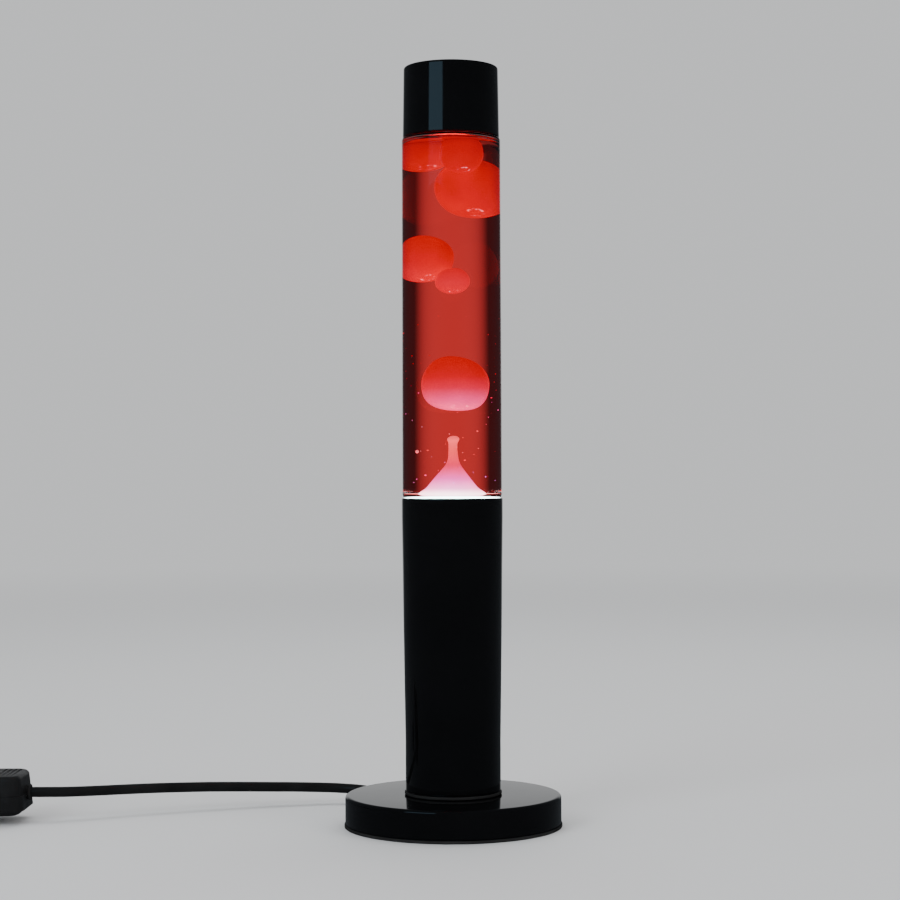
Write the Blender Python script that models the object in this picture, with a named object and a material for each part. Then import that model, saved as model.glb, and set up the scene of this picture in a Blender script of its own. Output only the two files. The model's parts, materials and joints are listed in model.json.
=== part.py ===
"""A tube lava lamp: a liquid-filled glass bottle on a slim metal stem and a round base, with its
lead, in-line switch and plug. Metres, +Z up. The origin is on the lamp's axis, at the table."""

from math import cos, pi, radians, sin

import bmesh
import bpy
from mathutils import Matrix, Vector

GAP = 0.0003  # clearance between pieces that touch

# Base
PAD_HEIGHT = 0.0015
PAD_WIDTH = 0.0080
PAD_PROUD = 0.0005  # how far the pad's edge shows past the base
BASE_RADIUS = 0.0569
BASE_TOP = 0.0166  # height of the base's flat top above the table
BASE_WALL = 0.0020
BASE_ROUND = 0.0018
COVER_THICKNESS = 0.0010
WEIGHT_MARGIN = 0.0069  # between the weight and the shell's wall
WEIGHT_RADIUS = BASE_RADIUS - BASE_WALL - WEIGHT_MARGIN
WEIGHT_BORE = 0.0125
WEIGHT_HEADROOM = 0.0035  # between the weight and the shell's ceiling
WEIGHT_SLOT = 0.0090  # channel for the wires
SCREW_RADIUS = 0.0015
SCREW_HEAD_RADIUS = 0.0028
SCREW_HEAD_HEIGHT = 0.0010
COVER_SCREW_CIRCLE = 0.0360
BOSS_RADIUS = 0.0036
BOSS_END = 0.0008  # from a screw's tip up to the shell's ceiling
GLAND_HOLE = 0.0042
GLAND_FLANGE_RADIUS = 0.0049
GLAND_FLANGE = 0.0016
GLAND_COLLAR_RADIUS = 0.0050
GLAND_COLLAR = 0.0025
RELIEF_TIP = 0.0008  # its wall at the thin end

# Stem, from the gasket on the base to the rim that surrounds the bottle's heel
GASKET_HEIGHT = 0.0015
STEM_FOOT_RADIUS = 0.02505
GASKET_PROUD = 0.00055  # how far the gasket shows past the stem's foot
GASKET_RADIUS = STEM_FOOT_RADIUS + GASKET_PROUD
STEM_RIM_RADIUS = 0.0267
STEM_HEIGHT = 0.1537
STEM_WALL = 0.0010
STEM_FLOOR = 0.0015
STEM_STRAIGHT_FOOT = 0.0260
STEM_STRAIGHT_RIM = 0.0100
SEAT_DEPTH = 0.0147  # from the stem's rim down to the seat
SEAT_LEDGE = 0.0045  # how far the seat reaches in under the bottle's heel
SEAT_HEIGHT = 0.0027

# Threaded tube and its nuts
TUBE_RADIUS = 0.0050
TUBE_BORE = 0.0036
TUBE_END = 0.0018  # how far the tube shows past its nuts and past the holder's floor
NUT_RADIUS = 0.0095
NUT_HEIGHT = 0.0040
WASHER_RADIUS = 0.0105
WASHER_THICKNESS = 0.0012

# Lampholder, E14
HOLDER_RADIUS = 0.0135
HOLDER_WALL = 0.0025
HOLDER_FLOOR = 0.0030
HOLDER_BASE_HEIGHT = 0.0130
HOLDER_SKIRT_HEIGHT = 0.0260
DECK_HEIGHT = 0.0060
SOCKET_BORE = 0.0072
SOCKET_WALL = 0.0005
SOCKET_DEPTH = 0.0165
CONTACT_SIZE = (0.0090, 0.0030)
CONTACT_THICKNESS = 0.0008
WIRE_RADIUS = 0.0009
WIRE_SPACING = 0.0026

# Reflector bulb, R39, E14
BULB_LENGTH = 0.0660
BULB_HEADROOM = 0.0126  # from the bulb up to the seat
BULB_RADIUS = 0.0197
BULB_NECK_RADIUS = 0.0059
BULB_GLASS = 0.0008
BULB_CAP_RADIUS = 0.0068
BULB_CAP_HEIGHT = 0.0170
BULB_CAP_WALL = 0.0005
BULB_TIP_HEIGHT = 0.0012
LEAD_RADIUS = 0.0004

# Bottle
GLASS_SETBACK = 0.0004  # how far the glass stands in from the stem's rim
GLASS_TAPER = 0.00025  # how much the body's radius falls from bottom to top
GLASS_RADIUS = STEM_RIM_RADIUS - GLASS_SETBACK
GLASS_TOP_RADIUS = GLASS_RADIUS - GLASS_TAPER
GLASS_WALL = 0.0016
GLASS_FLOOR = 0.0035
BORE = GLASS_RADIUS - GLASS_WALL
HEEL_CLEARANCE = 0.0009  # between the heel and the stem's inside
HEEL_RADIUS = STEM_RIM_RADIUS - STEM_WALL - HEEL_CLEARANCE
SEAT_BORE = HEEL_RADIUS - SEAT_LEDGE
HEEL_ROUND = 0.0025
SHOULDER_HEIGHT = 0.0018
BOTTLE_BODY_HEIGHT = 0.1902  # from the stem's rim to the shoulder that the cap stands on
NECK_RADIUS = 0.0130
NECK_WALL = 0.0022
STOPPER_LIP = 0.0010  # how far the stopper's flange reaches past the neck
STOPPER_RADIUS = NECK_RADIUS + STOPPER_LIP
STOPPER_DEPTH = 0.0050
STOPPER_FLANGE = 0.0027

# Cap
CAP_SETBACK = 0.0005  # how far the cap stands in from the glass
CAP_TAPER = 0.00055
CAP_RADIUS = GLASS_TOP_RADIUS - CAP_SETBACK
CAP_TOP_RADIUS = CAP_RADIUS - CAP_TAPER
CAP_HEIGHT = 0.0371
CAP_HEADROOM = 0.0109  # from the neck's top up to the cap's
CAP_WALL = 0.0010
CAP_ROUND = 0.0012
INSERT_HEIGHT = 0.0090
INSERT_DROP = 0.0110  # from the cap's mouth up to the insert

# Wax
POOL_TOP = 0.0009  # above the stem's rim
HEAT_COIL_RADIUS = HEEL_RADIUS - 0.0078  # it lies in the pool, clear of the heel's curve
HEAT_COIL_THICKNESS = 0.0050

# Lead: a round two-core flex
CORD_RADIUS = 0.00275
CORD_ANGLE = radians(125)  # where it leaves the base, seen from above
CORD_EXIT_HEIGHT = 0.0080
RELIEF_LENGTH = 0.0200
COIL_CENTRE = (-0.3870, 0.05025)
COIL_RADIUS = 0.0290  # at the middle of the turns
COIL_COLUMNS = 2
COIL_LAYERS = 4
COIL_LIFT = 0.0012  # the tie passes under the coil

# In-line switch
SWITCH_CENTRE = (-0.2642, 0.0185)
SWITCH_LENGTH = 0.0730
SWITCH_WIDTH = 0.0380
SWITCH_BOTTOM = 0.0050
SWITCH_HEIGHT = 0.0209
SWITCH_WALL = 0.0020
SWITCH_DRAFT = 0.0018  # each end leans in by this much at top and bottom
SWITCH_ROUND = 0.0022
SWITCH_CORNER = 0.0080  # seen from above
FOOT_RADIUS = 0.0040
FOOT_SPACING = (0.0240, 0.0210)
GROMMET_RADIUS = 0.0043
GROMMET_THICKNESS = 0.0012
CORD_HOLE_RADIUS = 0.0036
ROCKER_LENGTH = 0.0212
ROCKER_WIDTH = 0.0104
ROCKER_TILT = radians(9)  # its end at +X is pressed down: on
ROCKER_DROP = 0.0033  # its axis below the switch's top
ROCKER_PROUD = 0.0005
ROCKER_DISH = 0.0012
ROCKER_DEPTH = 0.0050
ROCKER_FOOT = 0.0040
ROCKER_PIN_RADIUS = 0.0010
ROCKER_PIN_END = 0.0018
WINDOW_MARGIN = 0.0011  # clearance for the button's ends as it rocks
SWITCH_SCREW_OFFSET = SWITCH_LENGTH / 2 - 0.0125
SWITCH_POST_RADIUS = 0.0034

# Plug
PLUG_END = -0.3470  # where the plug's strain relief begins
PLUG_LINE = 0.1015
PLUG_RELIEF_LENGTH = 0.0220
PLUG_RELIEF_RADIUS = 0.0055
PLUG_LENGTH = 0.0360
PLUG_WIDTH = 0.0353
PLUG_THICKNESS = 0.0137
PLUG_WAIST = 0.50  # width at the cord's end, as a share of the width at the pins
PLUG_ROUND = 0.0025
PIN_RADIUS = 0.0020
PIN_LENGTH = 0.0190
PIN_SPACING = 0.0186

# Heights that follow from the sizes above
SHELL_BOTTOM = PAD_HEIGHT + GAP
COVER_TOP = SHELL_BOTTOM + COVER_THICKNESS
SHELL_CEILING = BASE_TOP - BASE_WALL
WEIGHT_TOP = SHELL_CEILING - WEIGHT_HEADROOM
WASHER_BOTTOM = SHELL_CEILING - GAP - WASHER_THICKNESS
LOWER_NUT_BOTTOM = WASHER_BOTTOM - GAP - NUT_HEIGHT
TUBE_BOTTOM = LOWER_NUT_BOTTOM - TUBE_END
STEM_BOTTOM = BASE_TOP + GASKET_HEIGHT + 2 * GAP
STEM_TOP = STEM_BOTTOM + STEM_HEIGHT
SEAT_TOP = STEM_TOP - SEAT_DEPTH
BOTTLE_BOTTOM = SEAT_TOP + GAP
GLASS_BOTTOM = STEM_TOP + GAP
SHOULDER_TOP = STEM_TOP + BOTTLE_BODY_HEIGHT
CAP_BOTTOM = SHOULDER_TOP + GAP
CAP_TOP = CAP_BOTTOM + CAP_HEIGHT
NECK_TOP = CAP_TOP - CAP_HEADROOM
BULB_TOP = SEAT_TOP - SEAT_HEIGHT - BULB_HEADROOM
BULB_BOTTOM = BULB_TOP - BULB_LENGTH
DECK_TOP = BULB_BOTTOM - 2 * GAP - CONTACT_THICKNESS
HOLDER_BOTTOM = DECK_TOP - DECK_HEIGHT - HOLDER_BASE_HEIGHT
BULB_CAP_BOTTOM = BULB_BOTTOM + BULB_TIP_HEIGHT + GAP
BULB_CAP_TOP = BULB_CAP_BOTTOM + BULB_CAP_HEIGHT
MOUNT_TOP = BULB_CAP_TOP + 0.0100  # the glass pillar that carries the filament
SWITCH_TOP = SWITCH_BOTTOM + SWITCH_HEIGHT
SWITCH_MIDDLE = SWITCH_BOTTOM + SWITCH_HEIGHT / 2
ROCKER_HEIGHT = SWITCH_TOP - ROCKER_DROP
PLUG_HEIGHT = PLUG_THICKNESS / 2
COIL_HALF_WIDTH = COIL_COLUMNS * CORD_RADIUS + 0.0002
COIL_TOP = COIL_LIFT + COIL_LAYERS * 2 * CORD_RADIUS + 0.0002

# The lead's route from the base to the switch, then from the switch to the coil, then to the plug
ROUTE_END_POINTS = 2  # points beside each end of a route that move with it
LEAD_ROUTE = [
    (-0.0445, 0.0636, 0.0080),
    (-0.0471, 0.0671, 0.0080),
    (-0.0524, 0.0713, 0.0081),
    (-0.0605, 0.0736, 0.0084),
    (-0.0700, 0.0736, 0.0089),
    (-0.0862, 0.0703, 0.0098),
    (-0.1027, 0.0660, 0.0106),
    (-0.1190, 0.0608, 0.0115),
    (-0.1350, 0.0548, 0.0124),
    (-0.1508, 0.0485, 0.0131),
    (-0.1664, 0.0417, 0.0137),
    (-0.1815, 0.0340, 0.0142),
    (-0.1963, 0.0262, 0.0147),
    (-0.2090, 0.0209, 0.0151),
    (-0.2210, 0.0187, 0.0154),
    (-0.2259, 0.0185, 0.01545),
]
TAIL_ROUTE = [
    (-0.3025, 0.0185, 0.01545),
    (-0.3100, 0.0185, 0.0156),
    (-0.3250, 0.0185, 0.0168),
    (-0.3400, 0.0185, 0.0185),
    (-0.3550, 0.0185, 0.0199),
    (-0.3672, 0.0185, 0.0204),
]
END_ROUTE = [
    (-0.4040, 0.0730, 0.0265),
    (-0.3990, 0.0800, 0.0268),
    (-0.3930, 0.0865, 0.0264),
    (-0.3840, 0.0930, 0.0210),
    (-0.3720, 0.0980, 0.0127),
    (-0.3600, 0.1008, 0.0078),
    (-0.3473, 0.1015, 0.00685),
]

# Wax drops: the centre and the half sizes, as shares of the bottle's bore across (x, y) and of
# its body's height from the stem's rim up (z)
DROPS = {
    "wax_middle": ((0.057, 0.000, 0.317), (0.555, 0.551, 0.0757)),
    "wax_left": ((-0.441, 0.081, 0.663), (0.494, 0.494, 0.0652)),
    "wax_small": ((0.016, -0.364, 0.597), (0.316, 0.283, 0.0358)),
    "wax_right": ((0.324, 0.194, 0.8586), (0.591, 0.591, 0.0825)),
    "wax_top_left": ((-0.457, 0.081, 0.948), (0.486, 0.372, 0.0410)),
    "wax_top_middle": ((0.113, -0.526, 0.948), (0.421, 0.324, 0.0410)),
}
# The column on the pool: radius as a share of the bore, height above the pool as a share of the
# body's height
COLUMN = [
    (0.567, 0.0016),
    (0.486, 0.0126),
    (0.401, 0.0263),
    (0.312, 0.0457),
    (0.182, 0.0736),
    (0.097, 0.0957),
    (0.073, 0.1209),
    (0.073, 0.1551),
    (0.093, 0.1609),
    (0.081, 0.1661),
    (0, 0.1677),
]

LOOKS = {
    "gloss_black": ((0.010, 0.010, 0.011), 0.10, 0.0),
    "black_plastic": ((0.014, 0.014, 0.015), 0.35, 0.0),
    "black_rubber": ((0.018, 0.018, 0.018), 0.75, 0.0),
    "dark_iron": ((0.060, 0.058, 0.055), 0.60, 1.0),
    "steel": ((0.560, 0.560, 0.570), 0.30, 1.0),
    "brass": ((0.780, 0.570, 0.260), 0.30, 1.0),
    "ceramic": ((0.850, 0.830, 0.780), 0.35, 0.0),
    "glass": ((0.950, 0.970, 0.970), 0.02, 0.0),
    "wax_red": ((0.900, 0.020, 0.020), 0.30, 0.0),
    "wax_hot": ((0.980, 0.450, 0.550), 0.30, 0.0),
    "wire_brown": ((0.180, 0.070, 0.020), 0.45, 0.0),
    "wire_blue": ((0.020, 0.100, 0.450), 0.45, 0.0),
}


def look(name):
    """The Principled material of this name, made once."""
    if name in bpy.data.materials:
        return bpy.data.materials[name]
    colour, roughness, metallic = LOOKS[name]
    material = bpy.data.materials.new(name)
    material.use_nodes = True
    shader = material.node_tree.nodes["Principled BSDF"]
    shader.inputs["Base Color"].default_value = (*colour, 1)
    shader.inputs["Roughness"].default_value = roughness
    shader.inputs["Metallic"].default_value = metallic
    if name == "glass":
        shader.inputs["Transmission Weight"].default_value = 1
    return material


def add(name, mesh, finish, place=None):
    """A new object from a bmesh, which it frees, placed by a matrix."""
    bmesh.ops.recalc_face_normals(mesh, faces=mesh.faces)
    data = bpy.data.meshes.new(name)
    mesh.to_mesh(data)
    mesh.free()
    data.shade_smooth()
    data.set_sharp_from_angle(angle=radians(30))
    data.materials.append(look(finish))
    obj = bpy.data.objects.new(name, data)
    obj.matrix_world = place or Matrix()
    bpy.context.scene.collection.objects.link(obj)
    return obj


def arc(radius, height, size, start, end, steps=4):
    """Outline points on a circle about (radius, height), from one angle to another in degrees."""
    turns = [radians(start + (end - start) * i / steps) for i in range(steps + 1)]
    return [(radius + size * cos(t), height + size * sin(t)) for t in turns]


def turned_mesh(outline, steps):
    """A closed outline of (radius, height) spun about Z; an outline on the axis needs no closing edge."""
    mesh = bmesh.new()
    points = [mesh.verts.new((r, 0, z)) for r, z in outline]
    edges = [mesh.edges.new(pair) for pair in zip(points, points[1:])]
    if outline[0][0] > 0:
        edges.append(mesh.edges.new((points[-1], points[0])))
    bmesh.ops.spin(
        mesh, geom=points + edges, axis=(0, 0, 1), cent=(0, 0, 0), angle=2 * pi, steps=steps, use_merge=True
    )
    bmesh.ops.remove_doubles(mesh, verts=mesh.verts, dist=1e-6)
    return mesh


def turned(name, outline, finish, steps=40, place=None):
    return add(name, turned_mesh(outline, steps), finish, place)


def ring_outline(inner, outer, bottom, top):
    return [(inner, bottom), (outer, bottom), (outer, top), (inner, top)]


def disc_outline(radius, bottom, top):
    return [(0, bottom), (radius, bottom), (radius, top), (0, top)]


def block_mesh(length, width, height):
    mesh = bmesh.new()
    bmesh.ops.create_cube(mesh, size=1)
    bmesh.ops.scale(mesh, vec=(length, width, height), verts=mesh.verts)
    return mesh


def at(x, y, z):
    return Matrix.Translation((x, y, z))


def along_x(x, y, z, way=1):
    """Places a piece turned about Z so that its axis runs along +X, or along -X."""
    return at(x, y, z) @ Matrix.Rotation(way * pi / 2, 4, "Y")


def cut(obj, cutter, operation="DIFFERENCE"):
    """A Boolean with a helper object, which stays hidden."""
    cutter.hide_render = True
    cutter.display_type = "WIRE"
    modifier = obj.modifiers.new(cutter.name, "BOOLEAN")
    modifier.operation = operation
    modifier.object = cutter
    modifier.solver = "EXACT"


def rod(name, radius, bottom, top, place=None, steps=16):
    """A plain helper cylinder."""
    return turned(name, disc_outline(radius, bottom, top), "steel", steps, place)


def screw_boss(name, radius, bottom, top, screw_top, place):
    """A helper boss with a blind hole for a screw's shank, open at its lower end."""
    bore = SCREW_RADIUS + GAP
    end = screw_top + GAP
    return turned(
        name,
        [(0, end), (bore, end), (bore, bottom), (radius, bottom), (radius, top), (0, top)],
        "steel",
        16,
        place,
    )


def smooth_line(route, spacing):
    """Points every so often along a Catmull-Rom curve through the route's points."""
    spots = [Vector(p) for p in route]
    spots = [2 * spots[0] - spots[1], *spots, 2 * spots[-1] - spots[-2]]
    fine = []
    for a, b, c, d in zip(spots, spots[1:], spots[2:], spots[3:]):
        for i in range(16):
            t = i / 16
            fine.append(
                0.5 * (2 * b + (c - a) * t + (2 * a - 5 * b + 4 * c - d) * t * t + (3 * b - a - 3 * c + d) * t**3)
            )
    fine.append(spots[-2])
    lengths = [0.0]
    for a, b in zip(fine, fine[1:]):
        lengths.append(lengths[-1] + (b - a).length)
    count = max(2, round(lengths[-1] / spacing))
    line = []
    k = 0
    for i in range(count + 1):
        wanted = lengths[-1] * i / count
        while k < len(fine) - 2 and lengths[k + 1] < wanted:
            k += 1
        share = (wanted - lengths[k]) / (lengths[k + 1] - lengths[k])
        line.append(fine[k].lerp(fine[k + 1], share))
    return line


def tube(name, route, radius, finish, spacing, resolution=2):
    """A cord or wire: a round tube with closed ends along a smooth line."""
    line = smooth_line(route, spacing)
    curve = bpy.data.curves.new(name, "CURVE")
    curve.dimensions = "3D"
    spline = curve.splines.new("POLY")
    spline.points.add(len(line) - 1)
    for point, spot in zip(spline.points, line):
        point.co = (*spot, 1)
    curve.bevel_depth = radius
    curve.bevel_resolution = resolution
    curve.use_fill_caps = True
    curve.materials.append(look(finish))
    obj = bpy.data.objects.new(name, curve)
    bpy.context.scene.collection.objects.link(obj)
    return obj


def fitted(route, start, end):
    """A route whose ends are brought to two places. The points next to each end move with it."""
    spots = [Vector(p) for p in route]
    first_move = Vector(start) - spots[0]
    last_move = Vector(end) - spots[-1]
    span = len(spots) - 1 - 2 * ROUTE_END_POINTS
    moved = []
    for i, spot in enumerate(spots):
        share = min(1, max(0, (i - ROUTE_END_POINTS) / span))
        moved.append(spot + first_move.lerp(last_move, share))
    return moved


def cover_screw_places():
    """The three cover screws stand clear of the wires' channel."""
    angles = [CORD_ANGLE + radians(60 + 120 * k) for k in range(3)]
    return [at(COVER_SCREW_CIRCLE * cos(t), COVER_SCREW_CIRCLE * sin(t), 0) for t in angles]


def towards_cord(radius, height):
    """A place on the line along which the cord leaves the base, its X axis pointing out."""
    spot = (radius * cos(CORD_ANGLE), radius * sin(CORD_ANGLE), height)
    return Matrix.Translation(spot) @ Matrix.Rotation(CORD_ANGLE, 4, "Z")


def build_base():
    turned(
        "base_pad",
        ring_outline(BASE_RADIUS - PAD_WIDTH, BASE_RADIUS + PAD_PROUD, 0, PAD_HEIGHT),
        "black_rubber",
    )
    inside = BASE_RADIUS - BASE_WALL
    cover = turned("base_cover", disc_outline(inside - GAP, SHELL_BOTTOM, COVER_TOP), "steel")
    weight = turned(
        "base_weight",
        ring_outline(WEIGHT_BORE, WEIGHT_RADIUS, COVER_TOP + GAP, WEIGHT_TOP),
        "dark_iron",
    )
    hole = TUBE_RADIUS + GAP
    shell = turned(
        "base_shell",
        [
            (hole, SHELL_CEILING),
            (inside, SHELL_CEILING),
            (inside, SHELL_BOTTOM),
            (BASE_RADIUS, SHELL_BOTTOM),
            *arc(BASE_RADIUS - BASE_ROUND, BASE_TOP - BASE_ROUND, BASE_ROUND, 0, 90),
            (hole, BASE_TOP),
        ],
        "gloss_black",
        44,
    )
    head_top = SHELL_BOTTOM - GAP
    boss_bottom = WEIGHT_TOP + GAP
    screw_top = SHELL_CEILING - BOSS_END
    for k, place in enumerate(cover_screw_places(), start=1):
        turned(
            f"cover_screw_{k}",
            [
                (0, head_top - SCREW_HEAD_HEIGHT),
                (SCREW_HEAD_RADIUS, head_top - SCREW_HEAD_HEIGHT),
                (SCREW_HEAD_RADIUS, head_top),
                (SCREW_RADIUS, head_top),
                (SCREW_RADIUS, screw_top),
                (0, screw_top),
            ],
            "steel",
            16,
            place,
        )
        boss_top = SHELL_CEILING + BASE_WALL / 2
        cut(shell, screw_boss(f"boss_{k}", BOSS_RADIUS, boss_bottom, boss_top, screw_top, place), "UNION")
        drill = rod(f"drill_{k}", SCREW_RADIUS + GAP, 0, screw_top, place)
        cut(cover, drill)
        cut(weight, drill)
    slot = add(
        "wire_slot", block_mesh(WEIGHT_RADIUS, WEIGHT_SLOT, 4 * WEIGHT_TOP), "steel",
        towards_cord(WEIGHT_BORE + WEIGHT_RADIUS / 2 - 0.002, WEIGHT_TOP),
    )
    cut(weight, slot)
    outlet = rod("cord_outlet", GLAND_HOLE, -BASE_WALL * 2, BASE_WALL * 2)
    outlet.matrix_world = towards_cord(BASE_RADIUS - BASE_WALL / 2, CORD_EXIT_HEIGHT) @ Matrix.Rotation(
        pi / 2, 4, "Y"
    )
    cut(shell, outlet)
    build_gland()


def build_gland():
    """The strain relief: a flange inside the wall, a neck in the hole and a taper outside. The
    flange lies against the curved wall, so it stands a little further in."""
    flange_out = -BASE_WALL - GAP - 0.0001
    flange_in = flange_out - GLAND_FLANGE - GAP
    neck = GLAND_HOLE - GAP
    collar = GAP + 0.0002
    relief = turned(
        "cord_gland",
        [
            (0, flange_in),
            (GLAND_FLANGE_RADIUS, flange_in),
            (GLAND_FLANGE_RADIUS, flange_out),
            (neck, flange_out),
            (neck, collar),
            (GLAND_COLLAR_RADIUS, collar),
            (GLAND_COLLAR_RADIUS, GLAND_COLLAR),
            (CORD_RADIUS + RELIEF_TIP, RELIEF_LENGTH),
            (0, RELIEF_LENGTH),
        ],
        "black_rubber",
        20,
    )
    relief.matrix_world = towards_cord(BASE_RADIUS, CORD_EXIT_HEIGHT) @ Matrix.Rotation(pi / 2, 4, "Y")


def stem_radius(height):
    """The stem's outside: straight at its foot and rim, with an even flare between them."""
    start = STEM_BOTTOM + STEM_STRAIGHT_FOOT
    end = STEM_TOP - STEM_STRAIGHT_RIM
    share = min(1.0, max(0.0, (height - start) / (end - start)))
    return STEM_FOOT_RADIUS + (STEM_RIM_RADIUS - STEM_FOOT_RADIUS) * share


def build_stem():
    hole = TUBE_RADIUS + GAP
    turned(
        "stem_gasket",
        ring_outline(hole, GASKET_RADIUS, BASE_TOP + GAP, BASE_TOP + GAP + GASKET_HEIGHT),
        "black_rubber",
    )
    heights = [STEM_BOTTOM, STEM_BOTTOM + STEM_STRAIGHT_FOOT, STEM_TOP - STEM_STRAIGHT_RIM, STEM_TOP]
    outside = [(stem_radius(z), z) for z in heights]
    floor = STEM_BOTTOM + STEM_FLOOR
    inside = [(stem_radius(z) - STEM_WALL, max(z, floor)) for z in reversed(heights)]
    turned("stem_shell", [(hole, STEM_BOTTOM), *outside, *inside, (hole, floor)], "gloss_black")
    seat_radius = stem_radius(SEAT_TOP - SEAT_HEIGHT) - STEM_WALL - GAP
    turned("seat_ring", ring_outline(SEAT_BORE, seat_radius, SEAT_TOP - SEAT_HEIGHT, SEAT_TOP), "steel", 40)


def hex_nut(name, bottom):
    """A hexagon nut whose bore clears the tube."""
    mesh = turned_mesh(disc_outline(NUT_RADIUS, bottom, bottom + NUT_HEIGHT), 6)
    nut = add(name, mesh, "steel")
    cut(nut, rod(name + "_bore", TUBE_RADIUS + GAP, bottom - NUT_HEIGHT, bottom + 2 * NUT_HEIGHT, steps=20))


def build_tube():
    tube_top = HOLDER_BOTTOM + HOLDER_FLOOR + TUBE_END
    turned("threaded_tube", ring_outline(TUBE_BORE, TUBE_RADIUS, TUBE_BOTTOM, tube_top), "steel", 20)
    turned(
        "tube_washer",
        ring_outline(TUBE_RADIUS + GAP, WASHER_RADIUS, WASHER_BOTTOM, SHELL_CEILING - GAP),
        "steel",
        24,
    )
    hex_nut("tube_nut_lower", LOWER_NUT_BOTTOM)
    hex_nut("tube_nut_upper", STEM_BOTTOM + STEM_FLOOR + GAP)


def build_holder():
    top = HOLDER_BOTTOM + HOLDER_BASE_HEIGHT
    floor = HOLDER_BOTTOM + HOLDER_FLOOR
    inside = HOLDER_RADIUS - HOLDER_WALL
    turned(
        "holder_base",
        [
            (TUBE_RADIUS + GAP, HOLDER_BOTTOM),
            (HOLDER_RADIUS, HOLDER_BOTTOM),
            (HOLDER_RADIUS, top),
            (inside, top),
            (inside, floor),
            (TUBE_RADIUS + GAP, floor),
        ],
        "black_plastic",
        32,
    )
    turned("holder_deck", disc_outline(inside - GAP, top + GAP, DECK_TOP), "ceramic", 32)
    turned(
        "holder_skirt",
        ring_outline(inside, HOLDER_RADIUS, top + GAP, top + GAP + HOLDER_SKIRT_HEIGHT),
        "black_plastic",
        32,
    )
    socket_bottom = DECK_TOP + GAP
    turned(
        "holder_screw_shell",
        ring_outline(SOCKET_BORE, SOCKET_BORE + SOCKET_WALL, socket_bottom, socket_bottom + SOCKET_DEPTH),
        "brass",
        24,
    )
    add(
        "holder_contact",
        block_mesh(*CONTACT_SIZE, CONTACT_THICKNESS),
        "brass",
        at(0, 0, socket_bottom + CONTACT_THICKNESS / 2),
    )
    for name, side, finish in (("wire_live", 1, "wire_brown"), ("wire_neutral", -1, "wire_blue")):
        build_wire(name, side * WIRE_SPACING / 2, finish)


def build_wire(name, offset, finish):
    """One core: from the strain relief along the weight's slot, under the tube and up to the holder."""
    start = BASE_RADIUS - BASE_WALL - GLAND_FLANGE - 3 * GAP - 0.0001
    under = TUBE_BOTTOM - 2 * WIRE_RADIUS - 2 * GAP
    fall = CORD_EXIT_HEIGHT - under
    top = HOLDER_BOTTOM + HOLDER_BASE_HEIGHT - GAP
    spread = 0.0030 if offset > 0 else -0.0030
    radial = [
        (start, offset, CORD_EXIT_HEIGHT),
        (0.6 * start, offset, CORD_EXIT_HEIGHT - 0.2 * fall),
        (0.3 * start, offset, CORD_EXIT_HEIGHT - 0.6 * fall),
        (2 * TUBE_RADIUS, offset, under + 0.1 * fall),
        (TUBE_RADIUS, offset, under),
        (0.3 * TUBE_RADIUS, offset, under + 0.0010),
        (0, offset, TUBE_BOTTOM + 0.0020),
        (0, offset, 2 * TUBE_BOTTOM),
        (0, offset, HOLDER_BOTTOM * 0.5),
        (0, offset, HOLDER_BOTTOM),
        (0, offset, HOLDER_BOTTOM + HOLDER_FLOOR + 0.0035),
        (0, offset + spread, top),
    ]
    turn = Matrix.Rotation(CORD_ANGLE, 4, "Z")
    tube(name, [turn @ Vector(p) for p in radial], WIRE_RADIUS, finish, 0.0035, 1)


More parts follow.
